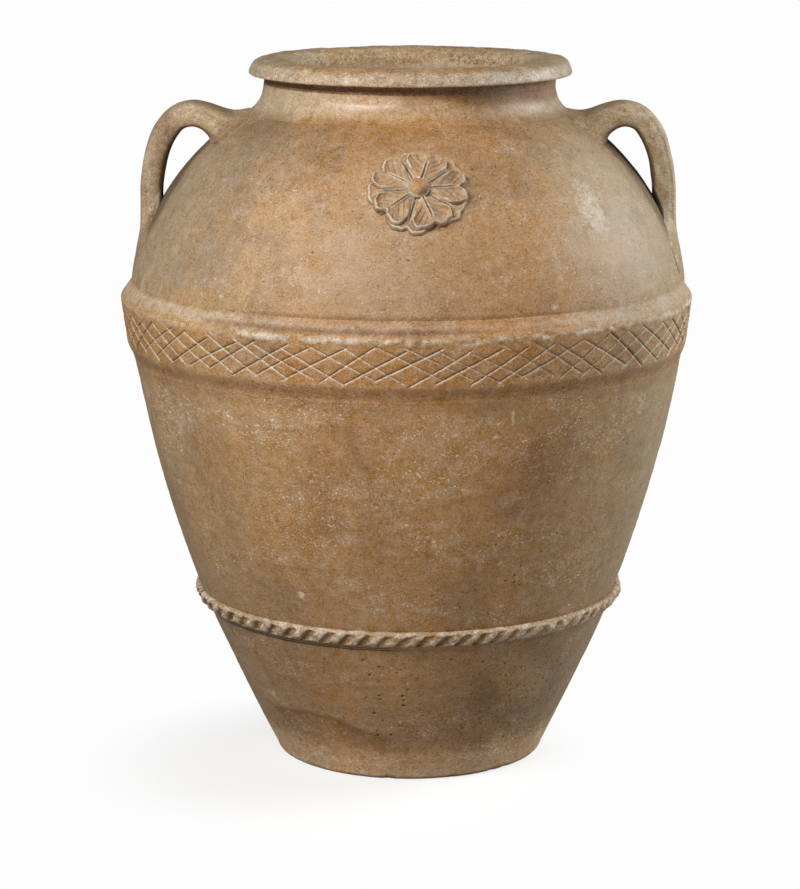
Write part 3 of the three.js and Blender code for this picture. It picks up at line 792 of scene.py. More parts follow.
# The pieces
class JAR_OT_walls(Operator):
    """Raises the floor slab and the three wall stages"""

    bl_idname = "oil_jar.walls"
    bl_label = "Floor and walls"

    def execute(self, context):
        sizes = context.scene.jar_sizes
        self.floor_slab(sizes)
        # Seed, number, degrees from the front, levels and half widths
        lower_pits = [
            *pits(11, 26, (-14, 12), (0.060, 0.180), (0.0012, 0.0028)),
            *pits(12, 120, (18, 55), (0.045, 0.175), (0.0008, 0.0018)),
            *pits(13, 40, (60, 330), (0.030, 0.190), (0.0008, 0.0020)),
        ]
        belly_pits = [
            *pits(21, 12, (17, 36), (0.270, 0.365), (0.0008, 0.0022)),
            *pits(22, 12, (-45, 60), (0.240, 0.500), (0.0007, 0.0015)),
            *pits(23, 40, (60, 315), (0.240, 0.500), (0.0008, 0.0022)),
        ]
        shoulder_pits = [
            *pits(31, 9, (-60, 60), (0.640, 0.790), (0.0007, 0.0015)),
            *pits(32, 26, (60, 300), (0.640, 0.790), (0.0008, 0.0020)),
        ]
        cordon, joint = sizes.cordon_level, (sizes.belt_level + sizes.shoulder_level) / 2
        self.wall_stage("lower_body", "lower_wall", lower_pits, sizes, sizes.slab_edge, cordon, sizes.floor)
        self.wall_stage("belly", "belly_wall", belly_pits, sizes, cordon, joint)
        self.wall_stage("shoulder", "shoulder_wall", shoulder_pits, sizes, joint, sizes.neck_level)
        return {"FINISHED"}

    def floor_slab(self, sizes):
        """Thick disc that the jar stands on."""
        inner = Vector((radius_at(inside_line(sizes), sizes.floor), sizes.floor))
        outer = stretch(outside_line(sizes), 0, sizes.slab_edge)
        outline = [Vector((0, 0)), *outer, inner, Vector((0, sizes.floor))]
        mesh = turned(outline, sizes.turn_steps, closed=False)
        piece = piece_of(mesh, "floor_slab", "base_slab", wall_clay())
        spots = corners_of(piece)
        level = spots[:, 2]
        outside = reaches(spots) > sizes.foot_radius - 0.001
        nicks = np.minimum(ripple(spots, (60, 60, 90), 4.2) + 0.12, 0) * (level < 0.004)
        move_corners(piece, push_out(spots, outside * (unevenness(spots, sizes) + 0.004 * nicks)))
        # Painted contact shadow: a dark line along the lowest edge of the foot.
        ground = rise_between(-level, -0.0045, -0.0012)
        paint(piece, dust=self.foot_dust(spots) * outside * (1 - ground), hollow=0.95 * ground)

    def foot_dust(self, spots):
        """Dry dust on the wall near the ground."""
        return 0.55 * rise_between(-spots[:, 2], -0.050, -0.010) * (0.80 + ripple(spots, (16, 16, 10), 1.9))

    def wall_stage(self, name, node, marks, sizes, low, high, low_inside=None):
        """One coiled stage of the wall between two levels, with its pits and its weathering."""
        low_inside = low_inside or low + sizes.scarf
        outline = stage_outline(sizes, low, high, low_inside, high + sizes.scarf)
        mesh = turned(outline, sizes.turn_steps)
        refine_near(mesh, marks, sizes)
        piece = piece_of(mesh, name, node, wall_clay())
        spots = corners_of(piece)
        level = spots[:, 2]
        depth, part = pressed_pits(spots, marks, sizes)
        gap, shown = self.guide_line(spots, sizes)
        scored = 0.0009 * hump(gap, 0, 0.0022) * shown
        fold, below_fold = self.fold(spots)
        move_corners(piece, push_out(spots, unevenness(spots, sizes) - depth - scored + fold))
        belt_top = sizes.shoulder_level
        seam = rise_between(-level, -belt_top - 0.0070, -belt_top - 0.0045) * (level > belt_top - 0.001)
        seam *= rise_between(-np.abs(azimuths(spots)), -0.9, -0.4)
        collar = rise_between(level, sizes.neck_level - 0.085, sizes.neck_level - 0.010)
        below_belt = hump(level, sizes.belt_level - 0.010, 0.010)
        stain = 0.42 * collar + 0.45 * below_belt + 0.8 * below_fold + 0.7 * seam
        # The hollow mark takes the dark pits and the painted shadow under the handles with the dirt and
        # smoke.
        paint(
            piece,
            dust=np.maximum(self.foot_dust(spots), 0.35 * self.round_the_rose(spots)),
            hollow=np.maximum(0.70 * part, self.shade_and_dirt(spots)),
            stain=np.maximum(stain, self.browned(spots)),
            wear=self.lime_marks(spots),
            scratch_gap=1000 * gap,
            scratch_held=shown,
        )

    def fold(self, spots):
        """Low fold in the lower wall on the left of the front, and the dark line below it."""
        turn, level = azimuths(spots), spots[:, 2]
        turns = (-1.15, -0.97, -0.65, -0.49, -0.33, 0.08)
        levels = (0.078, 0.080, 0.088, 0.087, 0.074, 0.051)
        gap = level - np.interp(turn, turns, levels) - 0.003 * ripple(spots, (20, 20, 0), 2.2)
        shown = rise_between(turn, -1.15, -0.90) * rise_between(-turn, -0.20, 0.25) * (level < 0.2)
        step = 0.0012 * np.tanh(gap / 0.003) * shown * hump(gap, 0, 0.02)
        return step, shown * rise_between(-gap, -0.003, 0.003) * hump(gap, 0, 0.028)

    def patch(self, spots, turn, level, half_turn, half_height):
        """Soft round patch at a turn and a level of the wall."""
        return hump(azimuths(spots), turn, half_turn) * hump(spots[:, 2], level, half_height)

    def shade_and_dirt(self, spots):
        """Painted shadow of the straps on the wall under the handles, stronger at the front, dirt left of the
        front, and smoke on the right of the lower wall.
        """
        turn, level = azimuths(spots), spots[:, 2]
        right = turn > 0
        wide = np.where(right, 0.070, 0.055 * rise_between(-level, -0.775, -0.735))
        inside = wide - np.abs(np.abs(turn) - math.pi / 2) + 0.05 * ripple(spots, (26, 26, 26), 5.2)
        # Painted shadow of the straps on the wall, softened at its edge.
        under = np.maximum(rise_between(inside, -0.230, -0.150), 0.35 * rise_between(inside, -0.36, -0.20))
        under *= rise_between(level + 0.4 * inside, 0.600, 0.650) * rise_between(-level, -0.822, -0.802)
        under *= 0.40 + 0.60 * rise_between(-spots[:, 1], -0.030, 0.030)
        smoke = self.patch(spots, 0.64, 0.120, 0.34, 0.068)
        smoke *= np.clip(0.65 + 1.3 * ripple(spots, (14, 14, 14), 4.7), 0, 1)
        grime = rise_between(turn, -1.35, -1.05) * rise_between(-turn, 0.55, 0.85)
        grime *= rise_between(level, 0.630, 0.680) * (0.8 + ripple(spots, (11, 11, 11), 6.3))
        return strongest(np.where(right, 0.76, 0.90) * under, 0.80 * smoke, 0.28 * grime)

    def browned(self, spots):
        """Stain on the shoulder round the roots of the handles, and in patches on the walls below."""
        scene = bpy.context.scene
        arc = shoulder_arc(scene.jar_sizes)
        level = spots[:, 2]
        climb = np.arctan2(level - arc.centre.y, reaches(spots) - arc.centre.x)
        along = (climb - arc.first) / (arc.last - arc.first)
        root_place = 0.87
        across = (spots[:, 1] + scene.handle_sizes.forward) / 0.060
        far = np.hypot((along - root_place) / 0.10, across)
        roots = 0.42 * hump(far, 1.0, 0.30) * (level > 0.6)
        patches = strongest(
            0.54 * self.patch(spots, 0.50, 0.41, 0.24, 0.10),
            0.52 * self.patch(spots, -0.25, 0.40, 0.48, 0.12),
            0.54 * self.patch(spots, -0.80, 0.135, 0.36, 0.070),
        )
        return np.maximum(roots, patches * (0.8 + ripple(spots, (9, 9, 6), 2.9)) * (level < 0.6))

    def guide_line(self, spots, sizes):
        """Line scored under the rope's place, on the left of the front: distance to it and where it shows."""
        line = sizes.cordon_level - 0.0152 + 0.0007 * ripple(spots, (6, 6, 0), 3.7)
        turn, gap = azimuths(spots), spots[:, 2] - line
        shown = rise_between(-turn, -0.06, 0.14) * rise_between(turn, -1.3, -1.0)
        return gap, 0.95 * shown * (np.abs(gap) < 0.008)

    def lime_marks(self, spots):
        """Lime that water left on the wall in drips, smears and patches."""
        # Degrees from the front, level, half width, half height and strength
        marks = [
            (21, 0.500, 0.0022, 0.016, 0.80),
            (18.5, 0.477, 0.0160, 0.003, 0.70),
            (-27.5, 0.264, 0.0060, 0.0065, 0.90),
            (22, 0.309, 0.0080, 0.005, 0.75),
            (27, 0.285, 0.0025, 0.012, 0.65),
            (32, 0.340, 0.0100, 0.024, 0.40),
            (46.5, 0.732, 0.0330, 0.045, 0.72),
            (30, 0.629, 0.0070, 0.0045, 0.80),
            (-53, 0.104, 0.0160, 0.012, 0.50),
            (9, 0.068, 0.0090, 0.006, 0.50),
        ]
        turn, level, reach = azimuths(spots), spots[:, 2], reaches(spots)
        laid = np.zeros(len(spots))
        for middle, height, half_width, half_height, strength in marks:
            across = hump((turn - math.radians(middle)) * reach, 0, half_width)
            laid = np.maximum(laid, strength * across * hump(level, height, half_height))
        return laid * (reach > 0.17)

    def round_the_rose(self, spots):
        """Dust that lies on the shoulder round the rose."""
        rose = bpy.context.scene.rose_sizes
        point = shoulder_arc(bpy.context.scene.jar_sizes).point(rose.place)
        middle = np.array((point.x * math.sin(rose.turn), -point.x * math.cos(rose.turn), point.y))
        gaps = np.linalg.norm(spots - middle, axis=1)
        return rise_between(-gaps, -0.080, -0.058)


class JAR_OT_neck_and_rim(Operator):
    """Sets the neck on the shoulder and rolls the rim"""

    bl_idname = "oil_jar.neck_and_rim"
    bl_label = "Neck and rim"

    def execute(self, context):
        sizes = context.scene.jar_sizes
        self.neck(sizes)
        self.rim(sizes)
        return {"FINISHED"}

    def neck(self, sizes):
        """Short hollowed neck on the shoulder."""
        low, high = sizes.neck_level, sizes.rim_level
        outline = stage_outline(sizes, low, high, low + sizes.scarf, high + sizes.scarf)
        piece = piece_of(turned(outline, sizes.turn_steps), "neck", "neck_collar", wall_clay())
        spots = corners_of(piece)
        move_corners(piece, push_out(spots, unevenness(spots, sizes)))
        turn, level = azimuths(spots), spots[:, 2]
        foot = rise_between(-level, -low - 0.014, -low)
        right = rise_between(turn, 0.10, 0.65)
        # Painted shadow of the lip on the top of the neck, deeper on the right, laid as stain and a little
        # hollow.
        shade_and_dirt = rise_between(level - high, -0.008 - 0.018 * right, -0.002 - 0.006 * right)
        shade_and_dirt *= rise_between(turn, 0.0, 0.40) * rise_between(-turn, -1.9, -1.4)
        dusty = np.maximum(rise_between(-turn, 0.05, 0.60), rise_between(turn, 0.50, 0.85))
        paint(
            piece,
            stain=np.maximum(0.36 * foot, 0.90 * shade_and_dirt),
            hollow=0.14 * shade_and_dirt * right,
            dust=(0.42 + 0.20 * dusty) * (1 - shade_and_dirt) * (1 - 0.8 * foot),
            wax=0.60 * (1 - shade_and_dirt),
        )

    def rim(self, sizes):
        """Thick rolled lip round the mouth."""
        top, mouth, widest = sizes.top_level, sizes.mouth_radius, sizes.rim_radius
        mesh = turned(self.roll(sizes), sizes.turn_steps)
        piece = piece_of(mesh, "rim", "rim_ring", rim_clay())
        spots = corners_of(piece)
        reach, level = reaches(spots), spots[:, 2]
        rough = 0.0006 * ripple(spots, (38, 38, 52), 2.2) + 0.0005 * ripple(spots, (90, 90, 120), 8.1)
        lip = rise_between(reach, widest - 0.010, widest - 0.002)
        chips = np.minimum(ripple(spots, (52, 52, 70), 6.4) + 0.38, 0) * lip
        moved = push_out(spots, unevenness(spots, sizes) + rough + 0.006 * chips)
        crest = rise_between(level, top - 0.016, top - 0.002)
        moved[:, 2] += crest * (0.0012 * ripple(spots, (7, 7, 3), 9.4) + 1.2 * rough)
        moved[:, 2] = np.minimum(moved[:, 2], top + 0.004)
        move_corners(piece, moved)
        slope = rise_between(-reach, -mouth - 0.030, -mouth - 0.010) * (spots[:, 1] > 0)
        pocks = ripple(spots, (290, 290, 330), 3.9) + 0.5 * ripple(spots, (9, 9, 9), 7.7)
        pocks = rise_between(pocks, 0.28, 0.44) * rise_between(np.abs(spots[:, 0]), 0.035, 0.070)
        pocks *= rise_between(-level, -top + 0.005, -top + 0.009)
        pocks *= rise_between(-reach, -mouth - 0.010, -mouth - 0.006)
        # Stain with painted shade on the underside of the lip.
        under = rise_between(-level, -top + 0.0190, -top + 0.0215)
        edge = rise_between(level, top - 0.020, top - 0.015) * lip
        outer = rise_between(reach, mouth + 0.020, mouth + 0.040)
        right = rise_between(azimuths(spots), -0.5, 0.6)
        paint(
            piece,
            wear=0.30 * edge,
            dust=np.maximum(0.38 * lip * (1 - under), 0.46 * slope),
            hollow=0.80 * pocks,
            stain=0.9 * under,
            bloom=lip * (0.52 + 0.38 * right) + 0.14 * outer * (1 - lip),
            wax=0.30 * lip,
        )

    def roll(self, sizes):
        """Section of the rim, from the neck under the flat lip and over its crest to the mouth."""
        neck, low, top = sizes.neck_radius, sizes.rim_level, sizes.top_level
        out, mouth = sizes.rim_radius, sizes.mouth_radius
        under = top - sizes.lip_height
        fillet = bend(Vector((neck, under - 0.005)), Vector((neck, under)), Vector((neck + 0.005, under)), 4)
        lip = [
            (out - 0.0040, under + 0.0004),
            (out - 0.0009, under + 0.0012),
            (out, under + 0.0032),
            (out - 0.0012, under + 0.0080),
            (out - 0.0036, under + 0.0135),
            (out - 0.0070, under + 0.0172),
            (out - 0.0140, under + 0.0198),
            (mouth + 0.0290, top),
            (mouth + 0.0140, top - 0.0016),
            (mouth + 0.0045, top - 0.0060),
            (mouth + 0.0006, top - 0.0125),
        ]
        crest = [Vector(row) for row in smooth_run(lip, 50)]
        foot = Vector((mouth, low + sizes.scarf))
        throat = [crest[-1].lerp(foot, part / 6) for part in range(1, 7)]
        return [Vector((neck, low)), *fillet, *crest, *throat]


class JAR_OT_belt(Operator):
    """Lays the belt round the belly and cuts its cross-hatch"""

    bl_idname = "oil_jar.belt"
    bl_label = "Belt"

    def execute(self, context):
        sizes, belt = context.scene.jar_sizes, context.scene.belt_sizes
        mesh = turned(self.section(sizes, belt), belt.turn_steps)
        piece = piece_of(mesh, "belt", "belt_band", trim_clay(), crease=75)
        spots = corners_of(piece)
        face = reaches(spots) > sizes.belt_radius + 0.0004
        depth, burr, lines = self.cuts(spots, belt)
        ridge = hump(spots[:, 2], belt.ridge_level - 0.0002, 0.0064) * face
        crumbs = np.minimum(ripple(spots, (70, 70, 110), 1.6) + 0.05, 0) * ridge
        shift = unevenness(spots, sizes) + face * (burr - depth) + 0.0042 * crumbs
        move_corners(piece, push_out(spots, shift))
        paint(piece, **lines, **self.weathered(spots, belt, face, ridge))
        return {"FINISHED"}

    def weathered(self, spots, belt, face, ridge):
        """Dust and wear of the ridge, bloom in the cove over it, stains along the edges, and painted shade in
        the groove over the ridge and on the hem.
        """
        level, turn = spots[:, 2], azimuths(spots)
        above = level - belt.ridge_level
        cove = rise_between(above, 0.004, 0.008) * rise_between(-above, -0.030, -0.018)
        # Painted shade in the groove over the ridge, as stain and hollow.
        groove = hump(above, 0.0095, 0.0034)
        groove *= 0.10 + 0.90 * rise_between(-np.abs(turn + 0.26), -0.62, -0.30)
        seam = rise_between(above, 0.0165, 0.0200) * rise_between(-np.abs(turn), -0.9, -0.4)
        rubbed = 0.25 + 0.75 * rise_between(turn, -0.95, -0.50)
        washed = cove * (0.55 + 0.45 * rise_between(np.abs(turn), 0.35, 0.80))
        washed *= 1 - 0.65 * hump(turn, 0.36, 0.24)
        # Painted shade on the downward hem under the cuts, as stain.
        hem = rise_between(-level, -belt.hatch_bottom - 0.002, -belt.hatch_bottom + 0.006)
        left = rise_between(-turn, 0.25, 0.80) * rise_between(-level, -belt.ridge_level, -belt.hatch_top)
        crumbly = np.clip(0.52 + 0.42 * ripple(spots, (34, 34, 20), 3.4), 0, 1)
        return {
            "dust": np.maximum(0.10 * cove + 0.30 * washed, 0.50 * ridge) * face,
            "wear": crumbly * ridge * rubbed,
            "bloom": 0.58 * washed * face,
            "hollow": 0.25 * groove * face,
            "stain": strongest(groove, 0.70 * seam, 0.60 * hem, 0.32 * left) * face,
        }

    def section(self, sizes, belt):
        """Section of the belt from its feathered lower edge over the ridge to the upper crease."""
        wall, low, ridge, top = sizes.belt_radius, belt.low_level, belt.ridge_radius, belt.ridge_level
        back, rows = wall - 0.0030, 46
        # Steps out from the wall and up, from the lower edge to the face and from the ridge to the crease
        hem = [(-0.0022, 0), (-0.0003, 0.0052), (0.0008, 0.0102)]
        hem += [(0.0021, 0.0144), (0.0041, 0.0185), (0.0059, 0.0225)]
        cove = [(0.0098, 0.0068), (0.0090, 0.0080), (0.0085, 0.0094), (0.0070, 0.0116), (0.0045, 0.0150)]
        cove += [(0.0021, 0.0184), (0.0003, 0.0215), (-0.0009, 0.0240), (-0.0025, 0.0265)]
        hem = [Vector((wall + out, low + up)) for out, up in hem]
        cove = [Vector((wall + out, top + up)) for out, up in cove]
        face_low, face_high = Vector((wall + 0.0070, low + 0.0265)), Vector((ridge - 0.0008, top - 0.0035))
        face = [face_low.lerp(face_high, row / rows) for row in range(rows + 1)]
        over = Vector((ridge - 0.0028, top + 0.0052))
        crest = bend(face_high, Vector((ridge + 0.0006, top + 0.0012)), over, 5)
        return [Vector((back, low)), *hem, *face, *crest[1:], *cove, Vector((back, cove[-1].y))]

    def cuts(self, spots, belt):
        """Depth of the crossing cuts, the burr beside them and the distances to the nearest cuts in mm."""
        draw = random.Random(5)
        round_length = 2 * math.pi * belt.ridge_radius
        along, level = azimuths(spots) * belt.ridge_radius, spots[:, 2]
        depth, burr, lines = np.zeros(len(spots)), np.zeros(len(spots)), {}
        pitch = round_length / belt.strokes
        for name, slant in (("falling", -1), ("rising", 1)):
            nearest, held = np.full(len(spots), 99.0), np.zeros(len(spots))
            for stroke in range(belt.strokes):
                middle = (stroke + draw.uniform(-0.14, 0.14)) * pitch
                run = belt.hatch_run * draw.uniform(0.9, 1.1)
                top = belt.hatch_top + draw.uniform(-0.006, 0.0015)
                bottom = belt.hatch_bottom + draw.uniform(-0.002, 0.006)
                width = belt.cut_width / 2 * draw.uniform(0.8, 1.15)
                deep = belt.cut_depth * draw.uniform(0.6, 1.1)
                bow = draw.uniform(-0.0009, 0.0009)
                offset = (along - middle + round_length / 2) % round_length - round_length / 2
                size = math.hypot(run, top - bottom)
                ahead, up = run / size, (top - bottom) / size
                height = level - (top + bottom) / 2
                forward = slant * offset * ahead + height * up
                gap = height * ahead - slant * offset * up + bow * np.cos(3.2 * forward / size)
                ends = rise_between(size / 2 - np.abs(forward), -0.001, 0.006)
                depth = np.maximum(depth, deep * ends * np.maximum(1 - np.abs(gap) / width, 0) ** 0.85)
                lift = hump(gap, -1.5 * width, 0.6 * width)
                burr = np.maximum(burr, 0.00035 * ends * lift * (deep / belt.cut_depth))
                nearer = np.abs(gap) < np.abs(nearest)
                nearest = np.where(nearer, gap, nearest)
                held = np.where(nearer, ends * min(deep / belt.cut_depth + 0.15, 1), held)
            lines[f"{name}_gap"] = 1000 * nearest
            lines[f"{name}_held"] = held
        return depth, np.where(depth > 0, 0, burr), lines


class JAR_OT_rope(Operator):
    """Presses the rope cordon on the wall"""

    bl_idname = "oil_jar.rope"
    bl_label = "Rope cordon"

    def execute(self, context):
        sizes, rope = context.scene.jar_sizes, context.scene.rope_sizes
        line = outside_line(sizes)
        rows, sunk = 22, 0.0008
        outline = []
        for row in range(rows + 1):
            turn = math.pi * (row / rows - 0.5)
            level = sizes.cordon_level + rope.half_height * math.sin(turn)
            outline.append(Vector((radius_at(line, level) + rope.proud * math.cos(turn) ** 0.65, level)))
        outline[0].x -= sunk
        outline[-1].x -= sunk
        inner = Vector((sizes.cordon_radius - 0.0014, sizes.cordon_level))
        mesh = turned([*outline, inner], SECTORS * rope.sector_steps)
        piece = piece_of(mesh, "rope", "rope_cordon", rope_clay(), crease=80)
        spots = corners_of(piece)
        wall = np.interp(spots[:, 2], [point.y for point in line], [point.x for point in line])
        proud = np.maximum(reaches(spots) - wall, 0) / rope.proud
        height = (spots[:, 2] - sizes.cordon_level) / rope.half_height
        press, edge, number = self.presses(spots, height, rope, sizes.cordon_radius)
        draw = random.Random(68)
        strength = np.array([draw.uniform(0.7, 1.15) for _ in range(rope.lobes)])[number]
        crust = 0.0020 * ripple(spots, (70, 70, 90), 3.3) + 0.0018 * ripple(spots, (170, 170, 210), 6.1)
        crust += 0.0010 * ripple(spots, (380, 380, 420), 1.2)
        rubbed = rise_between(-np.abs(azimuths(spots) - 0.68), -0.26, -0.12)
        deep = press * strength * (1 - 0.65 * rubbed)
        shift = proud * crust - rope.notch * deep * np.minimum(proud * 1.4, 1)
        moved = push_out(spots, unevenness(spots, sizes) + shift)
        moved[:, 2] += proud * 0.0012 * ripple(spots, (60, 60, 20), 8.8)
        move_corners(piece, moved)
        # Painted shade on the underside of the rope and on the steep side of each press, as hollow.
        under = rise_between(-height, 0.70, 1.0)
        crumbs = 0.5 + 0.9 * ripple(spots, (110, 110, 140), 9.6)
        paint(
            piece,
            stain=0.14 * rise_between(deep, 0.15, 0.6),
            dust=(0.55 + 0.40 * crumbs) * (1 - rise_between(deep, 0.1, 0.5)) * (1 - 0.6 * under),
            hollow=np.maximum(0.80 * under * (1 - rubbed), 0.55 * edge * strength * (1 - 0.5 * rubbed)),
            wear=0.76 * crumbs * (1 - rise_between(deep, 0.1, 0.4)) * (1 - under),
        )
        return {"FINISHED"}

    def presses(self, spots, height, rope, radius):
        """How deep each spot lies in a slanting thumb press, its steep side, and the number of its lobe."""
        around = azimuths(spots)
        lean = rope.lean / 2 * height / radius
        turn = (around - lean) / (2 * math.pi) * rope.lobes + 0.4 * np.sin(2 * around - 1.24)
        turn += 0.30 * ripple(spots, (9, 9, 0), 5.5)
        number = np.floor(turn).astype(int) % rope.lobes
        part = turn - np.floor(turn) - 0.30
        width = np.where(part < 0, 0.13, 0.50)
        level = rise_between(0.72 - height, 0.0, 0.40) * rise_between(height + 0.95, 0.0, 0.35)
        pocket = np.maximum(1 - (part / width) ** 2, 0) ** 1.2
        return pocket * level, hump(part, -0.02, 0.060) * level, number


class JAR_OT_handles(Operator):
    """Pulls the two strap handles and smears them on the shoulder"""

    bl_idname = "oil_jar.handles"
    bl_label = "Handles"

    # Share of the shoulder's curve, then shares of the rise, thickness and width, from tongue to root
    route = [
        (0.05, -0.18, 0.26, 0.55),
        (0.10, -0.085, 0.40, 0.80),
        (0.19, -0.04, 0.46, 0.93),
        (0.28, 0.00, 0.74, 1.00),
        (0.37, 0.185, 0.88, 1.00),
        (0.46, 0.46, 0.89, 1.00),
        (0.56, 0.75, 0.93, 1.00),
        (0.65, 0.955, 1.00, 1.00),
        (0.73, 1.00, 1.00, 1.03),
        (0.79, 0.84, 1.00, 1.12),
        (0.83, 0.55, 1.02, 1.25),
        (0.86, 0.16, 1.18, 1.42),
        (0.885, -0.25, 1.35, 1.50),
    ]

    def execute(self, context):
        sizes, strap = context.scene.jar_sizes, context.scene.handle_sizes
        straps = (("right_handle", "handle_right", 1), ("left_handle", "handle_left", -1))
        for name, node, facing in straps:
            mesh = self.pulled(sizes, strap, -facing * strap.forward)
            piece = piece_of(mesh, name, node, handle_clay(), crease=60)
            spots, under, normal, near = self.smeared(corners_of(piece), sizes, strap)
            half_turn = np.array((facing, facing, 1))
            rotated = spots * half_turn
            rough = 0.0011 * ripple(rotated, (16, 16, 16), 2.7) + 0.0006 * ripple(rotated, (44, 44, 44), 6.2)
            rotated += rough[:, None] * self.outward(rotated)
            move_corners(piece, rotated)
            self.blend_normals(piece, normal * half_turn, rise_between(near, 0.55, 1.0))
            grime = np.clip(0.35 + 1.2 * ripple(rotated, (22, 22, 14), 8.4), 0, 1) * (1 - near)
            grime *= 0.72 - 0.60 * facing
            rub = np.clip(0.5 + 1.2 * ripple(rotated, (30, 30, 18), 1.3), 0, 1) * (1 - near)
            joint = near * rise_between(rotated[:, 2], 0.76, 0.79)
            paint(
                piece,
                stain=strongest(0.6 * under, 0.42 * joint, 0.42 * grime),
                hollow=np.maximum(0.74 * under, 0.10 * (1 - facing) * grime),
                dust=(0.36 + 0.10 * facing) * (0.5 + rub) * (1 - under),
                bloom=(0.46 + 0.14 * facing) * rub * (1 - under),
            )
        return {"FINISHED"}

    def pulled(self, sizes, strap, shift):
        """Strap on the right side, drawn ring by ring along its route."""
        arc = shoulder_arc(sizes)
        rows = np.array(smooth_run(self.route, strap.run_steps))
        rows *= (1, strap.rise, strap.thickness, strap.width)
        line = [arc.point(place, height) for place, height, _, _ in rows]
        mesh = bmesh.new()
        ring = bmesh.ops.create_circle(mesh, segments=strap.round_steps, radius=1)["verts"]
        unit = [corner.co.copy() for corner in ring]
        edges = list(mesh.edges)
        self.draw_ring(ring, unit, rows[0], line, 0, shift)
        mesh.faces.new(ring)
        for step in range(1, len(rows)):
            grown = bmesh.ops.extrude_edge_only(mesh, edges=edges)["geom"]
            fresh = {item for item in grown if isinstance(item, bmesh.types.BMVert)}
            edges = [item for item in grown if isinstance(item, bmesh.types.BMEdge)]
            edges = [edge for edge in edges if fresh.issuperset(edge.verts)]
            mesh.verts.ensure_lookup_table()
            ring = mesh.verts[step * strap.round_steps :]
            self.draw_ring(ring, unit, rows[step], line, step, shift)
        mesh.faces.new(ring)
        return mesh

    def draw_ring(self, ring, unit, row, line, step, shift):
        """Sets one ring of the strap square to its route."""
        middle, thickness, width = line[step], row[2], row[3]
        along = (line[min(step + 1, len(line) - 1)] - line[max(step - 1, 0)]).normalized()
        outward = Vector((along.y, -along.x))
        for corner, spot in zip(ring, unit):
            outer = self.squared(spot.y)
            taper = 1 - 0.13 * rise_between(outer, 0.22, 0.50)
            place = middle + outward * (thickness / 2 * outer)
            corner.co = (place.x, width / 2 * self.squared(spot.x) * taper + shift, place.y)

    def squared(self, value):
        """Turns the round of a circle into a strap with rounded edges."""
        return math.copysign(abs(value) ** 0.46, value)

    def smeared(self, spots, sizes, strap):
        """Runs tongue and root out over the shoulder: spots, painted shade on the strap's underside, wall
        normal, nearness.
        """
        arc = shoulder_arc(sizes)
        reach = reaches(spots)
        inward = np.stack([reach - arc.centre.x, spots[:, 2] - arc.centre.y], 1)
        gap = np.linalg.norm(inward, axis=1)
        flat = inward / gap[:, None]
        sideways = flat[:, 0] / reach
        normal = np.stack([sideways * spots[:, 0], sideways * spots[:, 1], flat[:, 1]], 1)
        middles = np.repeat(spots.reshape(-1, strap.round_steps, 3).mean(1), strap.round_steps, 0)
        turn = np.arctan2(middles[:, 2] - arc.centre.y, middles[:, 0] - arc.centre.x)
        place = (turn - arc.first) / (arc.last - arc.first)
        tongue, root = rise_between(-place, -0.31, -0.20), rise_between(place, 0.74, 0.82)
        height = np.maximum(gap - arc.radius, 0)
        away = spots - middles
        raised = (away * normal).sum(1)
        away -= normal * raised[:, None]
        uphill = np.stack([-normal[:, 2], 0 * gap, np.hypot(normal[:, 0], normal[:, 1])], 1)
        climb = (away * uphill).sum(1)
        # Painted shade on the strap's underside facing the shoulder and on the root's inner face.
        under = rise_between(-raised, 0.006, 0.0125) * rise_between(gap - arc.radius, 0.002, 0.010)
        inner = rise_between(-climb, 0.006, 0.013) * rise_between(place, 0.72, 0.80)
        under = np.maximum(under, inner * rise_between(height, 0.001, 0.006))
        size = np.maximum(np.linalg.norm(away, axis=1), 1e-6)
        smeared_height, filled_height, flared_height = 0.030, 0.012, 0.028
        run = strap.smear * fading(height, smeared_height, 4) * tongue
        run += strap.fillet * fading(height, filled_height, 2) * root
        spread = spots + away / size[:, None] * run[:, None]
        flare = strap.root_smear * fading(height, flared_height, 3) * root
        spread[:, 1] += flare * np.clip(away[:, 1] / 0.030, -1, 1)
        higher = strap.root_climb * np.clip(climb / 0.012, 0, 1) * fading(height, smeared_height, 4) * root
        spread += uphill * higher[:, None]
        return spread, under, normal, fading(height - 0.003, 0.020)

    def blend_normals(self, piece, wall, part):
        """Lets root and tongue run into the shoulder without a break in the light."""
        own = np.zeros(len(piece.data.vertices) * 3)
        piece.data.vertices.foreach_get("normal", own)
        mixed = own.reshape(-1, 3) * (1 - part)[:, None] + wall * part[:, None]
        mixed /= np.linalg.norm(mixed, axis=1)[:, None]
        piece.data.normals_split_custom_set_from_vertices(mixed)

    def outward(self, spots):
        """Level direction away from the jar's axis."""
        return spots * np.array((1, 1, 0)) / np.maximum(reaches(spots), 1e-6)[:, None]


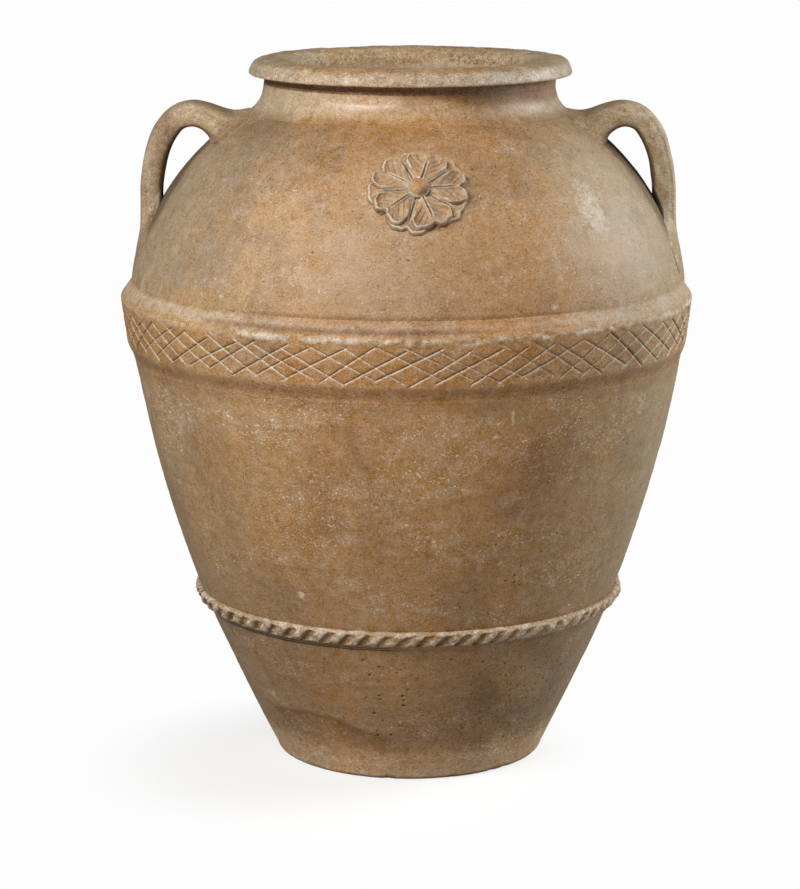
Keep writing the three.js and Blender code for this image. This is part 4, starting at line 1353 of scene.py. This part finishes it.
class JAR_OT_rose(Operator):
    """Models the double rose on the shoulder, petal by petal"""

    bl_idname = "oil_jar.rose"
    bl_label = "Rose"

    def execute(self, context):
        sizes, rose = context.scene.jar_sizes, context.scene.rose_sizes
        self.arc = shoulder_arc(sizes)
        self.rose = rose
        for index in range(rose.petals):
            number = index + 1
            middle = rose.lean + 2 * math.pi * index / rose.petals
            between = middle + math.pi / rose.petals
            self.petal(f"back_petal_{number}", f"rose_outer_petal_{number}", between, back=True)
            self.petal(f"front_petal_{number}", f"rose_inner_petal_{number}", middle, back=False)
        self.boss()
        return {"FINISHED"}

    def over_shoulder(self, reach, turn, height):
        """Spots over the shoulder at a reach and turn round the middle of the rose."""
        spots = []
        for far, way, high in zip(reach, turn, height):
            place = self.rose.place + self.rose.squat * far * math.cos(way) / self.arc.length
            point = self.arc.point(place, high)
            azimuth = self.rose.turn + far * math.sin(way) / self.arc.point(place).x
            spots.append((point.x * math.sin(azimuth), -point.x * math.cos(azimuth), point.y))
        return np.array(spots)

    def petal(self, name, node, middle, back):
        """One petal, pressed from a flat grid and laid on the shoulder."""
        mesh = bmesh.new()
        bmesh.ops.create_grid(mesh, x_segments=70, y_segments=52, size=1)
        bmesh.ops.extrude_face_region(mesh, geom=list(mesh.faces), use_keep_orig=True)
        top = np.arange(len(mesh.verts)) >= len(mesh.verts) // 2
        piece = piece_of(mesh, name, node, rose_clay(), crease=70)
        flat = corners_of(piece)
        side, along = flat[:, 0], (flat[:, 1] + 1) / 2
        reach, turn, height, low, deep = self.shaped(side, along, middle, back)
        floor = 0.0 if back else self.rose.thickness
        sunk = 0.0008
        height = np.where(top, floor + height, floor - sunk)
        spots = self.over_shoulder(reach, turn, height)
        rough = ripple(spots, (130, 130, 130), 4.9) + 0.6 * ripple(spots, (300, 300, 300), 1.7)
        spots += (rough * top * 0.0005)[:, None] * np.array((0, -0.75, 0.65))
        move_corners(piece, spots)
        dust = (0.15 + 0.50 * low) * top
        # Painted shade in the grooves, veins and round the edges, as hollow.
        paint(piece, dust=dust, hollow=0.62 * deep, wear=1.30 * low * top, bloom=0.20 * top)

    def shaped(self, side, along, middle, back):
        """Reach, turn and height of a petal's spots, and how much dust and how much painted shade each holds.
        """
        rose = self.rose
        half, start, seed = math.pi / rose.petals, rose.petal_start, 3.1 * middle
        edge = np.abs(side)
        if back:
            tip = rose.back_radius - 0.008 * side**2 - 0.0035 * hump(side, 0, 0.12)
            spread = 0.97 * np.ones(len(side))
        else:
            tip = rose.front_radius - 0.0065 * hump(side, 0, 0.14)
            tip -= 0.020 * (np.maximum(edge - 0.55, 0) / 0.45) ** 2
            spread = 0.64 + 0.34 * np.sin(math.pi / 2 * np.minimum(along / 0.72, 1))
        tip += 0.0015 * np.sin(7 * side + seed) + 0.0004 * np.sin(19 * side + 2.3 * seed)
        reach = start + (tip - start) * along
        turn = middle + side * half * spread
        width = reach * half * spread
        across = edge * width
        from_tip = (tip - start) * (1 - along)
        rim = np.minimum(from_tip, width - across)
        outer = rise_between(along, 0.35, 0.70)
        curl = hump(rim, 0.0040, 0.0021) * outer
        dish = hump(edge, 0.48, 0.22) * outer * rise_between(from_tip, 0.004, 0.012)
        inner = rise_between(0.84 - along, 0.0, 0.22)
        ribs = hump(across, 0.0019, 0.0008) * inner
        groove = hump(across, 0, 0.0008) * inner
        veins = strongest(*(hump(reach - 1.15 * across, vein, 0.0008) for vein in (0.020, 0.028, 0.036)))
        veins *= rise_between(across, 0.003, 0.006) * rise_between(rim, 0.002, 0.006)
        height = rose.thickness * (1 - 0.85 * fading(rim, 0.0062, 2))
        height += (0.0018 if back else 0.0028) * curl - 0.0022 * dish
        height += 0.0024 * ribs - 0.0014 * groove - 0.0012 * veins
        sides = 0.9 * hump(width - across, 0, 0.0015)
        lip = 0.70 * hump(rim, 0.0034, 0.0013) * outer
        low = strongest(hump(along, 0, 0.17), 0.8 * ribs, sides, lip)
        deep = strongest(0.5 * groove, 0.6 * veins, hump(rim, 0, 0.0012))
        return reach, turn, height, low, deep

    def shade_and_dirt(self, flat):
        """Painted shade on the lower right of the pellet."""
        low_right = (flat[:, 0] - flat[:, 1]) / math.sqrt(2)
        return rise_between(low_right, 0.0045, 0.0090) * rise_between(-reaches(flat), -0.0126, -0.0112)

    def boss(self):
        """Round pellet in the middle of the rose."""
        rose = self.rose
        seat, steps = 2 * rose.thickness, 12
        outline = [Vector((0, 0)), Vector((rose.boss_stem, 0)), Vector((rose.boss_stem, seat - 0.0006))]
        for step in range(steps + 1):
            turn = math.pi / 2 * step / steps
            dome = (rose.boss_radius * math.cos(turn), seat + rose.boss_rise * math.sin(turn))
            outline.append(Vector(dome))
        mesh = turned(outline, 3 * SECTORS, closed=False)
        piece = piece_of(mesh, "rose_boss_pellet", "rose_boss", rose_clay(), crease=50)
        flat = corners_of(piece)
        middle = self.over_shoulder([0], [0], [0])[0]
        tilt = self.arc.first + (self.arc.last - self.arc.first) * rose.place
        level = math.cos(tilt)
        out = np.array((level * math.sin(rose.turn), -level * math.cos(rose.turn), math.sin(tilt)))
        right = np.array((math.cos(rose.turn), math.sin(rose.turn), 0))
        up = np.cross(out, right)
        spots = middle + flat[:, :1] * right + flat[:, 1:2] * up + flat[:, 2:] * out
        spots += (0.0006 * ripple(flat, (110, 110, 110), 2.4))[:, None] * out
        move_corners(piece, spots)
        # Painted shade on the pellet's lower right, as hollow, and pale wear round its edge.
        paint(piece, wear=0.8 * rise_between(reaches(flat), 0.0108, 0.0128), hollow=0.65 * self.shade_and_dirt(flat))


# Studio
class JAR_OT_studio(Operator):
    """Sets up the pale floor, the soft light and the camera"""

    bl_idname = "oil_jar.studio"
    bl_label = "Studio"

    def execute(self, context):
        scene, stage = context.scene, context.scene.stage_sizes
        scene.view_settings.view_transform = "Standard"
        self.floor(scene, stage)
        self.sky(scene, stage)
        self.softbox(scene, stage, "key")
        self.softbox(scene, stage, "side")
        self.camera(scene, stage)
        return {"FINISHED"}

    def floor(self, scene, stage):
        """Pale floor that shows only the jar's soft shadow and throws a plain light back."""
        mesh = bmesh.new()
        bmesh.ops.create_grid(mesh, x_segments=1, y_segments=1, size=stage.floor_half)
        data = bpy.data.meshes.new("floor")
        mesh.to_mesh(data)
        mesh.free()
        floor = bpy.data.objects.new("floor", data)
        scene.collection.objects.link(floor)
        paper = Finish(bpy.data.materials.new("floor paper"))
        seen = paper.node("ShaderNodeLightPath", None, None, "Is Camera Ray")
        plain = paper.node("ShaderNodeBsdfDiffuse", None, {"Color": solid([stage.bounce] * 3)})
        pale = paper.node("ShaderNodeBsdfDiffuse", None, {"Color": solid([stage.paper] * 3)})
        glow = paper.node("ShaderNodeEmission", None, {"Strength": stage.paper_glow})
        white = paper.node("ShaderNodeEmission", None, {"Strength": stage.backdrop})
        lit = paper.node("ShaderNodeAddShader", None, {0: pale, 1: glow})
        axes = paper.node("ShaderNodeSeparateXYZ", None, {"Vector": paper.place()})
        x, y = axes - stage.shadow_side, axes.output("Y") - stage.shadow_back
        far = paper.maths("SQRT", x * x + y * y)
        near = paper.smooth(far, stage.shadow_reach, stage.shadow_core)
        shown = paper.node("ShaderNodeMixShader", None, {0: near, 1: white, 2: lit})
        surface = paper.node("ShaderNodeMixShader", None, {0: seen, 1: plain, 2: shown})
        paper.node("ShaderNodeOutputMaterial", None, {"Surface": surface})
        data.materials.append(paper.owner)

    def sky(self, scene, stage):
        """Even light from all round, in front of a pale background."""
        scene.world = bpy.data.worlds.new("studio")
        air = Finish(scene.world)
        seen = air.node("ShaderNodeLightPath", None, None, "Is Camera Ray")
        shares = {"Value": seen, "To Min": stage.sky, "To Max": stage.backdrop}
        strength = air.node("ShaderNodeMapRange", None, shares)
        back = air.node("ShaderNodeBackground", None, {"Strength": strength})
        air.node("ShaderNodeOutputWorld", None, {"Surface": back})

    def softbox(self, scene, stage, name):
        """A softbox at a turn from the front to the right and a lift, aimed at the middle of the jar."""
        values = ("turn", "lift", "distance", "width", "height", "power")
        turn, lift, distance, width, height, power = (getattr(stage, f"{name}_{value}") for value in values)
        data = bpy.data.lights.new(f"{name} light", "AREA")
        data.shape = "RECTANGLE"
        data.size, data.size_y = width, height
        data.energy = power
        box = bpy.data.objects.new(f"{name} light", data)
        flat = distance * math.cos(lift)
        away = Vector((flat * math.sin(turn), -flat * math.cos(turn), distance * math.sin(lift)))
        box.location = Vector((0, 0, stage.aim)) + away
        box.rotation_mode = "QUATERNION"
        box.rotation_quaternion = (-away).to_track_quat("-Z", "Y")
        scene.collection.objects.link(box)

    def camera(self, scene, stage):
        """Camera in front of the jar, looking down a little."""
        data = bpy.data.cameras.new("camera")
        data.sensor_fit = "VERTICAL"
        data.sensor_height = stage.sensor
        data.lens = stage.lens
        camera = bpy.data.objects.new("camera", data)
        camera.location = (stage.camera_side, -stage.camera_back, stage.camera_height)
        camera.rotation_euler = (math.pi / 2 - stage.camera_dip, 0, 0)
        scene.collection.objects.link(camera)
        scene.camera = camera


class JAR_PT_panel(Panel):
    """Lists the steps that build the jar"""

    bl_idname = "JAR_PT_panel"
    bl_label = "Oil Jar"
    bl_space_type = "VIEW_3D"
    bl_region_type = "UI"
    bl_category = "Oil Jar"

    def draw(self, context):
        for step in STEPS:
            self.layout.operator(step.bl_idname)


STEPS = (
    JAR_OT_walls,
    JAR_OT_neck_and_rim,
    JAR_OT_belt,
    JAR_OT_rope,
    JAR_OT_handles,
    JAR_OT_rose,
    JAR_OT_studio,
)
GROUPS = {
    "jar_sizes": JarSizes,
    "belt_sizes": BeltSizes,
    "rope_sizes": RopeSizes,
    "handle_sizes": HandleSizes,
    "rose_sizes": RoseSizes,
    "clay_colours": ClayColours,
    "stage_sizes": StageSizes,
}


def register():
    for kind in (*GROUPS.values(), *STEPS, JAR_PT_panel):
        bpy.utils.register_class(kind)
    for name, group in GROUPS.items():
        setattr(Scene, name, PointerProperty(type=group))


def unregister():
    for name in GROUPS:
        delattr(Scene, name)
    for kind in reversed((*GROUPS.values(), *STEPS, JAR_PT_panel)):
        bpy.utils.unregister_class(kind)


def main():
    register()
    bpy.ops.oil_jar.walls()
    bpy.ops.oil_jar.neck_and_rim()
    bpy.ops.oil_jar.belt()
    bpy.ops.oil_jar.rope()
    bpy.ops.oil_jar.handles()
    bpy.ops.oil_jar.rose()
    bpy.ops.oil_jar.studio()


if __name__ == "__main__":
    main()
